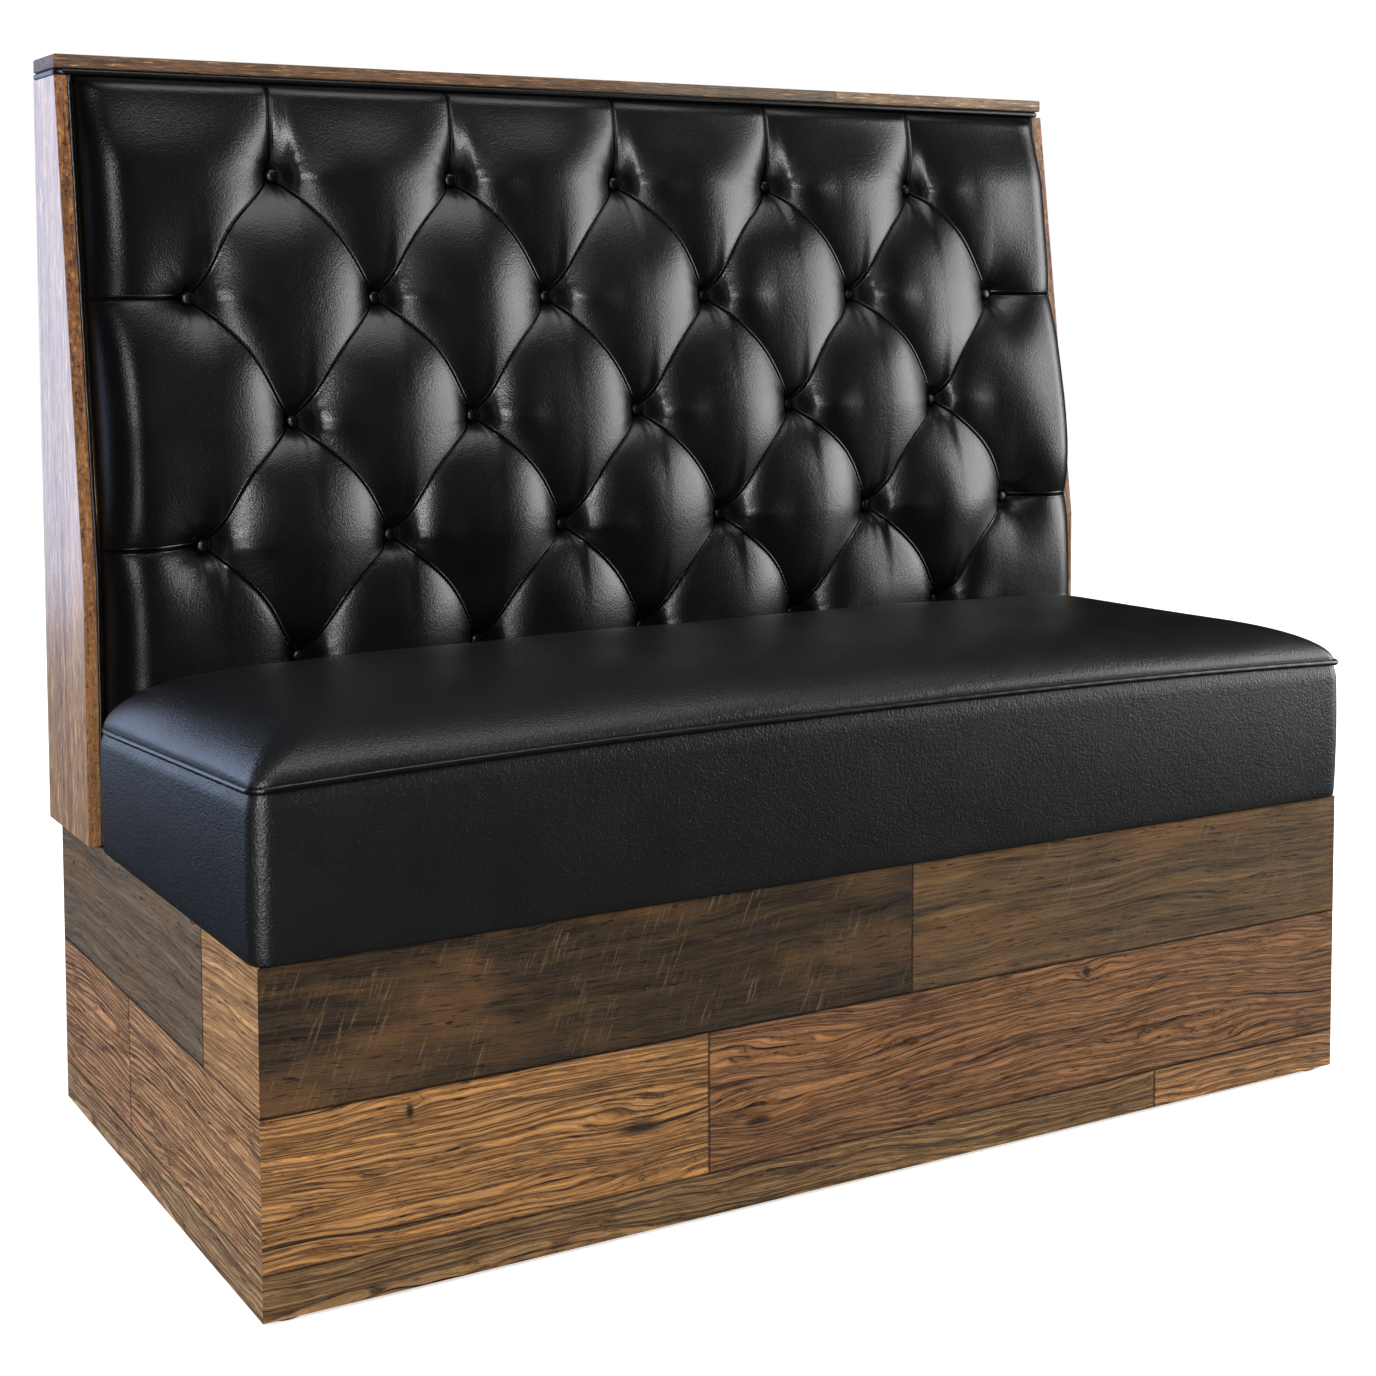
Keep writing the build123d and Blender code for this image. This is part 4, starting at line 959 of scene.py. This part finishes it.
class BOOTH_OT_back(bpy.types.Operator):
    """Builds the diamond-tufted back"""
    bl_idname = "booth.back"
    bl_label = "Tufted back"

    def execute(self, context):
        sizes = context.scene.booth_sizes
        points, faces = back_piece(sizes, BACK_STEP)
        piece = mesh_piece("tufted_back", points, faces)
        place = np.empty(len(piece.data.vertices) * 3)
        piece.data.vertices.foreach_get("co", place)
        x, z = place[0::3], place[2::3]
        # Painted shade: the edges, where they run in behind the welts, lose their specular over 15
        # mm on the right, 12.5 mm under the cap and, less strongly, 60 mm on the left, for the
        # shade at the welt
        beside = np.where(x < 0, (x + BACK_HIGH.x) / 4, BACK_HIGH.x - x)
        away = np.minimum(beside, (BACK_HIGH.z - z) * 1.2)
        welt_edge_shade = np.where(x < 0, 0.75, 1.0) * (1 - smooth_step(away, 3 * MM, 15 * MM))
        counts = (*pleat_counts(x, z, sizes), welt_edge_shade)
        for name, count in zip(("pleat_right", "pleat_left", "welt_edge_shade"), counts):
            attribute = piece.data.attributes.new(name, "FLOAT", "POINT")
            attribute.data.foreach_set("value", count)
        finish_with(piece, vinyl("back_vinyl", context.scene.booth_colours.back_vinyl, pleats=True))
        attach(piece, "booth")
        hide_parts("back_cover", "back_foam")
        return {"FINISHED"}


class BOOTH_OT_buttons(bpy.types.Operator):
    """Builds the covered buttons, one piece for each row"""
    bl_idname = "booth.buttons"
    bl_label = "Covered buttons"

    def execute(self, context):
        sizes = context.scene.booth_sizes
        cover = vinyl("button_vinyl", context.scene.booth_colours.back_vinyl, grain_mm=1.2)
        stand, dome_height = 3.5 * MM, 4.2 * MM
        for row, (places, y, z) in enumerate(button_centres(sizes)):
            normal = np.array([0.0, -1.0, BOARD_LEAN if z > KNEE_Z else 0.0])
            normal /= np.linalg.norm(normal)
            middles = [np.array([x, y, z]) + stand * normal for x in places]
            points, faces = dome_piece(middles, sizes.button_diameter / 2, dome_height, normal)
            piece = mesh_piece(f"covered_buttons_{row + 1}", points, faces)
            finish_with(piece, cover)
            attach(piece, "booth")
            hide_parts(f"button_row_{row + 1}")
        return {"FINISHED"}


class BOOTH_OT_welts(bpy.types.Operator):
    """Builds the seat's welt and the two welts beside the back"""
    bl_idname = "booth.welts"
    bl_label = "Welts"

    def execute(self, context):
        sizes = context.scene.booth_sizes
        cover = vinyl("welt_vinyl", context.scene.booth_colours.back_vinyl, grain_mm=1.2)
        path = seat_welt_path(SEAT_SAMPLES)
        swell = sizes.welt_diameter / 2 * (1 + 0.04 * np.sin(np.arange(len(path)) * 0.9))
        points, faces = tube(path, swell)
        pieces = [(mesh_piece("seat_welt_cord", points, faces), "seat_welt")]
        radius, inset, proud = 2.3 * MM, 2.2 * MM, 1.2 * MM
        z = np.linspace(BASE_TOP + 3 * MM, PANEL_TOP, 260)
        for name, sign in (("left", -1), ("right", 1)):
            node = f"back_{name}_welt"
            x = np.full(z.shape, sign * (BASE_HIGH.x - inset))
            y = side_line(z) + proud + 0.35 * MM * waves(z, 0 * z, 0.05, 31 + sign)
            points, faces = tube(np.stack([x, y, z], axis=-1), radius)
            pieces.append((mesh_piece(f"{name}_side_welt", points, faces), node))
        for piece, node in pieces:
            finish_with(piece, cover)
            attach(piece, "booth")
            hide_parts(node)
        finish_with(frame["nodes"]["cap_welt"], cover)
        return {"FINISHED"}


class BOOTH_OT_planks(bpy.types.Operator):
    """Finishes the plank cladding of the base"""
    bl_idname = "booth.planks"
    bl_label = "Plank cladding"

    def execute(self, context):
        for side in ("front", "left", "right", "rear"):
            finish_with(frame["nodes"][f"{side}_planks"],
                        planks_material(side, context.scene.booth_colours))
        return {"FINISHED"}


class BOOTH_OT_woodwork(bpy.types.Operator):
    """Finishes the side panels, their edge bands, the rear panel and the cap"""
    bl_idname = "booth.woodwork"
    bl_label = "Side panels and cap"

    def execute(self, context):
        nodes = frame["nodes"]
        panel = sealed_wood(
            "sealed_oak_panel", 2,
            [(0.0, "#523822"), (0.35, "#8c6844"), (0.7, "#ab8760"), (1.0, "#c6a478")],
            ("#e6d0ae", "#33200f"), 0.34, fleck_mm=2.6, sheen=1.0)
        band = sealed_wood(
            "rough_oak_edge", 2,
            [(0.0, "#2a1609"), (0.35, "#5a3314"), (0.7, "#80501f"), (1.0, "#a4743c")],
            ("#9a6f3c", "#160a03"), 0.45, fleck_mm=4.0, stretch=1.6, board_mm=20.0,
            shift=("Z", 0.80, 0.40, "#8f683a", 0.4))
        cap_left = sealed_wood(
            "sealed_oak_cap", 0,
            [(0.0, "#1c1108"), (0.35, "#422a13"), (0.7, "#5f3f20"), (1.0, "#7d5a34")],
            ("#a37c50", "#1a0f07"), 0.42, stretch=10.0, shift=("X", 0.02, 0.05, "#51483b", 0.7))
        cap_right = sealed_wood(
            "pale_oak_cap", 0,
            [(0.0, "#3c2b1c"), (0.35, "#624a34"), (0.7, "#7a5f45"), (1.0, "#957a60")],
            ("#c2a88c", "#3c2a1a"), 0.42, stretch=10.0)
        for name in ("left_side_panel", "right_side_panel", "outside_back_panel"):
            finish_with(nodes[name], panel)
        for name in ("left_edge_band", "right_edge_band"):
            finish_with(nodes[name], band)
        finish_with(nodes["top_cap_left"], cap_left)
        finish_with(nodes["top_cap_right"], cap_right)
        return {"FINISHED"}


class BOOTH_OT_fittings(bpy.types.Operator):
    """Finishes the hidden timber, boards, ties and fasteners, and the floor glides"""
    bl_idname = "booth.fittings"
    bl_label = "Frame and fittings"

    def execute(self, context):
        finishes = {
            "plywood": plain_wood("birch_plywood", "#d3b98c", "#b3935f", 0, 11.0),
            "frame_timber": plain_wood("planed_pine", "#dcc191", "#b98f56", 2, 6.0),
            "tie_cord": plain_wood("waxed_twine", "#cdbf9f", "#9c8d6d", 1, 2.0, 0.7),
            "zinc_steel": metal("zinc_plated_steel", "#b9bcbf", 0.35),
            "glide_grey": metal("nickel_plated_steel", "#a9abad", 0.38),
        }
        for part in frame["record"]["subparts"]:
            if part["material_slot"] in finishes:
                finish_with(frame["nodes"][part["node"]], finishes[part["material_slot"]])
        return {"FINISHED"}


# Stage

WHITE = "#ffffff"
AIM = (0.0, 0.1, 0.6)
# Soft boxes as (name, place, aim, size, watts, colour, kind of ray that doesn't see it)
LIGHTS = (
    ("soft_box_right", (2.6, -1.0, 1.15), AIM, (1.9, 1.9), 84, WHITE, None),
    ("small_box_left", (-2.3, -2.1, 1.95), AIM, (1.1, 0.8), 66, WHITE, None),
    ("cool_box_rear_left", (-2.0, 2.4, 1.2), (-0.6, 0.1, 0.7), (2.2, 2.2), 46, "#c6daff",
     "diffuse"),
    ("front_fill", (-0.3, -3.2, 1.8), AIM, (2.4, 1.6), 55, "#fff8ee", "glossy"),
    ("left_fill", (-3.0, -0.2, 1.0), AIM, (1.6, 1.4), 40, "#fff0de", "glossy"),
    ("overhead", (0.2, -0.5, 3.4), AIM, (2.6, 1.4), 35, WHITE, None),
    ("corner_strip", (-1.5, -1.4, 0.35), (-0.6, -0.3, 0.4), (0.5, 0.7), 12, WHITE, "diffuse"),
)
# The camera, fitted to the photograph: its place, and its turn from +Y, its dip and its roll in
# degrees
CAMERA_PLACE = (-1.183205, -1.993120, 0.843348)
CAMERA_TURNS = (30.109, 3.996, -0.164)
CAMERA_LENS_MM = 58.81
CAMERA_SHIFT = -0.17975


def facing(side, up, back, place):
    """The matrix of an object whose x, y and z axes are side, up and back, at a place."""
    matrix = np.eye(4)
    matrix[:3] = np.column_stack([side, up, back, place])
    return Matrix(matrix.tolist())


def area_light(name, place, aim, size, watts, colour):
    """A soft box at a place, aimed at a point, which the camera doesn't see."""
    lamp = bpy.data.lights.new(name, "AREA")
    lamp.shape = "RECTANGLE"
    lamp.size, lamp.size_y = size
    lamp.energy = watts
    lamp.color = linear(colour)
    holder = bpy.data.objects.new(name, lamp)
    bpy.context.scene.collection.objects.link(holder)
    back = np.subtract(place, aim)
    back /= np.linalg.norm(back)
    side = np.cross([0, 0, 1], back)
    side /= np.linalg.norm(side)
    holder.matrix_world = facing(side, np.cross(back, side), back, place)
    holder.visible_camera = False
    return holder


def studio_paper():
    """White background paper under a matt floor: it takes the booth's shadow close by and is lifted
    to plain white for the camera further out. It stays dark to glossy rays, as if black cloth lay
    in front of the booth, which keeps the vinyl's lower slopes deep."""
    material, tree, shader = new_material("studio_paper")
    rays = add(tree, "LightPath")
    paper = add(tree, "Mix", {"Factor": (rays, "Is Glossy Ray"), "A": (0.78, 0.78, 0.78, 1.0),
                              "B": (0.01, 0.01, 0.01, 1.0)}, data_type="RGBA")
    feed(tree, shader, {"Base Color": (paper, 2), "Roughness": 0.9})
    where = add(tree, "TexCoord")
    away = add(tree, "VectorMath", {0: (where, "Object")}, operation="LENGTH")
    lift = add(tree, "MapRange", {"Value": (away, "Value"), "From Min": 0.55, "From Max": 1.3,
                                  "To Min": 0.55, "To Max": 1.0}, interpolation_type="SMOOTHSTEP")
    strength = add(tree, "Math", {0: lift, 1: (rays, "Is Camera Ray")}, operation="MULTIPLY")
    glow = add(tree, "Emission", {"Color": rgba(WHITE), "Strength": strength})
    both = add(tree, "AddShader", {0: shader, 1: glow})
    output = shader.outputs[0].links[0].to_node
    feed(tree, output, {"Surface": both})
    return material


def studio_world():
    """A world that is white to the camera, dim to the booth and black to glossy rays."""
    world = bpy.data.worlds.new("studio_world")
    world.use_nodes = True
    tree = world.node_tree
    tree.nodes.clear()
    rays = add(tree, "LightPath")
    level = add(tree, "MapRange", {"Value": (rays, "Is Glossy Ray"), "To Min": 0.35, "To Max": 0.0})
    level = add(tree, "Math", {0: level, 1: (rays, "Is Camera Ray")}, operation="MAXIMUM")
    sky = add(tree, "Background", {"Color": rgba(WHITE), "Strength": level})
    add(tree, "OutputWorld", {"Surface": sky})
    return world


def fitted_camera():
    """The photograph's camera: ahead is turned from +Y and dipped, and right and up are rolled."""
    camera = bpy.data.cameras.new("camera")
    camera.lens = CAMERA_LENS_MM
    camera.sensor_width = 36.0
    camera.shift_y = CAMERA_SHIFT
    camera.clip_end = 50.0
    holder = bpy.data.objects.new("camera", camera)
    bpy.context.scene.collection.objects.link(holder)
    turn, dip, roll = np.radians(CAMERA_TURNS)
    ahead = np.array([np.sin(turn) * np.cos(dip), np.cos(turn) * np.cos(dip), -np.sin(dip)])
    level_right = np.array([np.cos(turn), -np.sin(turn), 0.0])
    level_up = np.cross(level_right, ahead)
    right = np.cos(roll) * level_right + np.sin(roll) * level_up
    up = np.cos(roll) * level_up - np.sin(roll) * level_right
    holder.matrix_world = facing(right, up, -ahead, CAMERA_PLACE)
    return holder


class BOOTH_OT_stage(bpy.types.Operator):
    """Builds the floor, the lights, the world and the camera"""
    bl_idname = "booth.stage"
    bl_label = "Stage"

    def execute(self, context):
        floor = mesh_piece("studio_floor", [(-9, -9, 0), (9, -9, 0), (9, 9, 0), (-9, 9, 0)],
                           [(0, 1, 2, 3)], smooth=False)
        finish_with(floor, studio_paper())
        for *settings, hidden in LIGHTS:
            lamp = area_light(*settings)
            lamp.visible_diffuse = hidden != "diffuse"
            lamp.visible_glossy = hidden != "glossy"
        context.scene.world = studio_world()
        context.scene.view_settings.view_transform = "Standard"
        context.scene.camera = fitted_camera()
        return {"FINISHED"}


OPERATORS = (BOOTH_OT_stage, BOOTH_OT_planks, BOOTH_OT_woodwork, BOOTH_OT_fittings, BOOTH_OT_seat,
             BOOTH_OT_back, BOOTH_OT_buttons, BOOTH_OT_welts)


class VIEW3D_PT_booth(bpy.types.Panel):
    """Lists the booth's settings and steps in the sidebar"""
    bl_label = "Restaurant booth"
    bl_space_type = "VIEW_3D"
    bl_region_type = "UI"
    bl_category = "Booth"

    def draw(self, context):
        layout = self.layout
        for group in (context.scene.booth_sizes, context.scene.booth_colours):
            for name in group.__annotations__:
                layout.prop(group, name)
        for operator in OPERATORS:
            layout.operator(operator.bl_idname)


CLASSES = (BoothSizes, BoothColours) + OPERATORS + (VIEW3D_PT_booth,)


def register():
    """Registers the classes and hangs the settings on the scene."""
    for cls in CLASSES:
        bpy.utils.register_class(cls)
    bpy.types.Scene.booth_sizes = bpy.props.PointerProperty(type=BoothSizes)
    bpy.types.Scene.booth_colours = bpy.props.PointerProperty(type=BoothColours)


def unregister():
    """Takes the settings and the classes away again."""
    del bpy.types.Scene.booth_colours
    del bpy.types.Scene.booth_sizes
    for cls in reversed(CLASSES):
        bpy.utils.unregister_class(cls)


def main():
    """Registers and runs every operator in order."""
    register()
    bpy.ops.booth.stage()
    bpy.ops.booth.planks()
    bpy.ops.booth.woodwork()
    bpy.ops.booth.fittings()
    bpy.ops.booth.seat()
    bpy.ops.booth.back()
    bpy.ops.booth.buttons()
    bpy.ops.booth.welts()


if __name__ == "__main__":
    main()
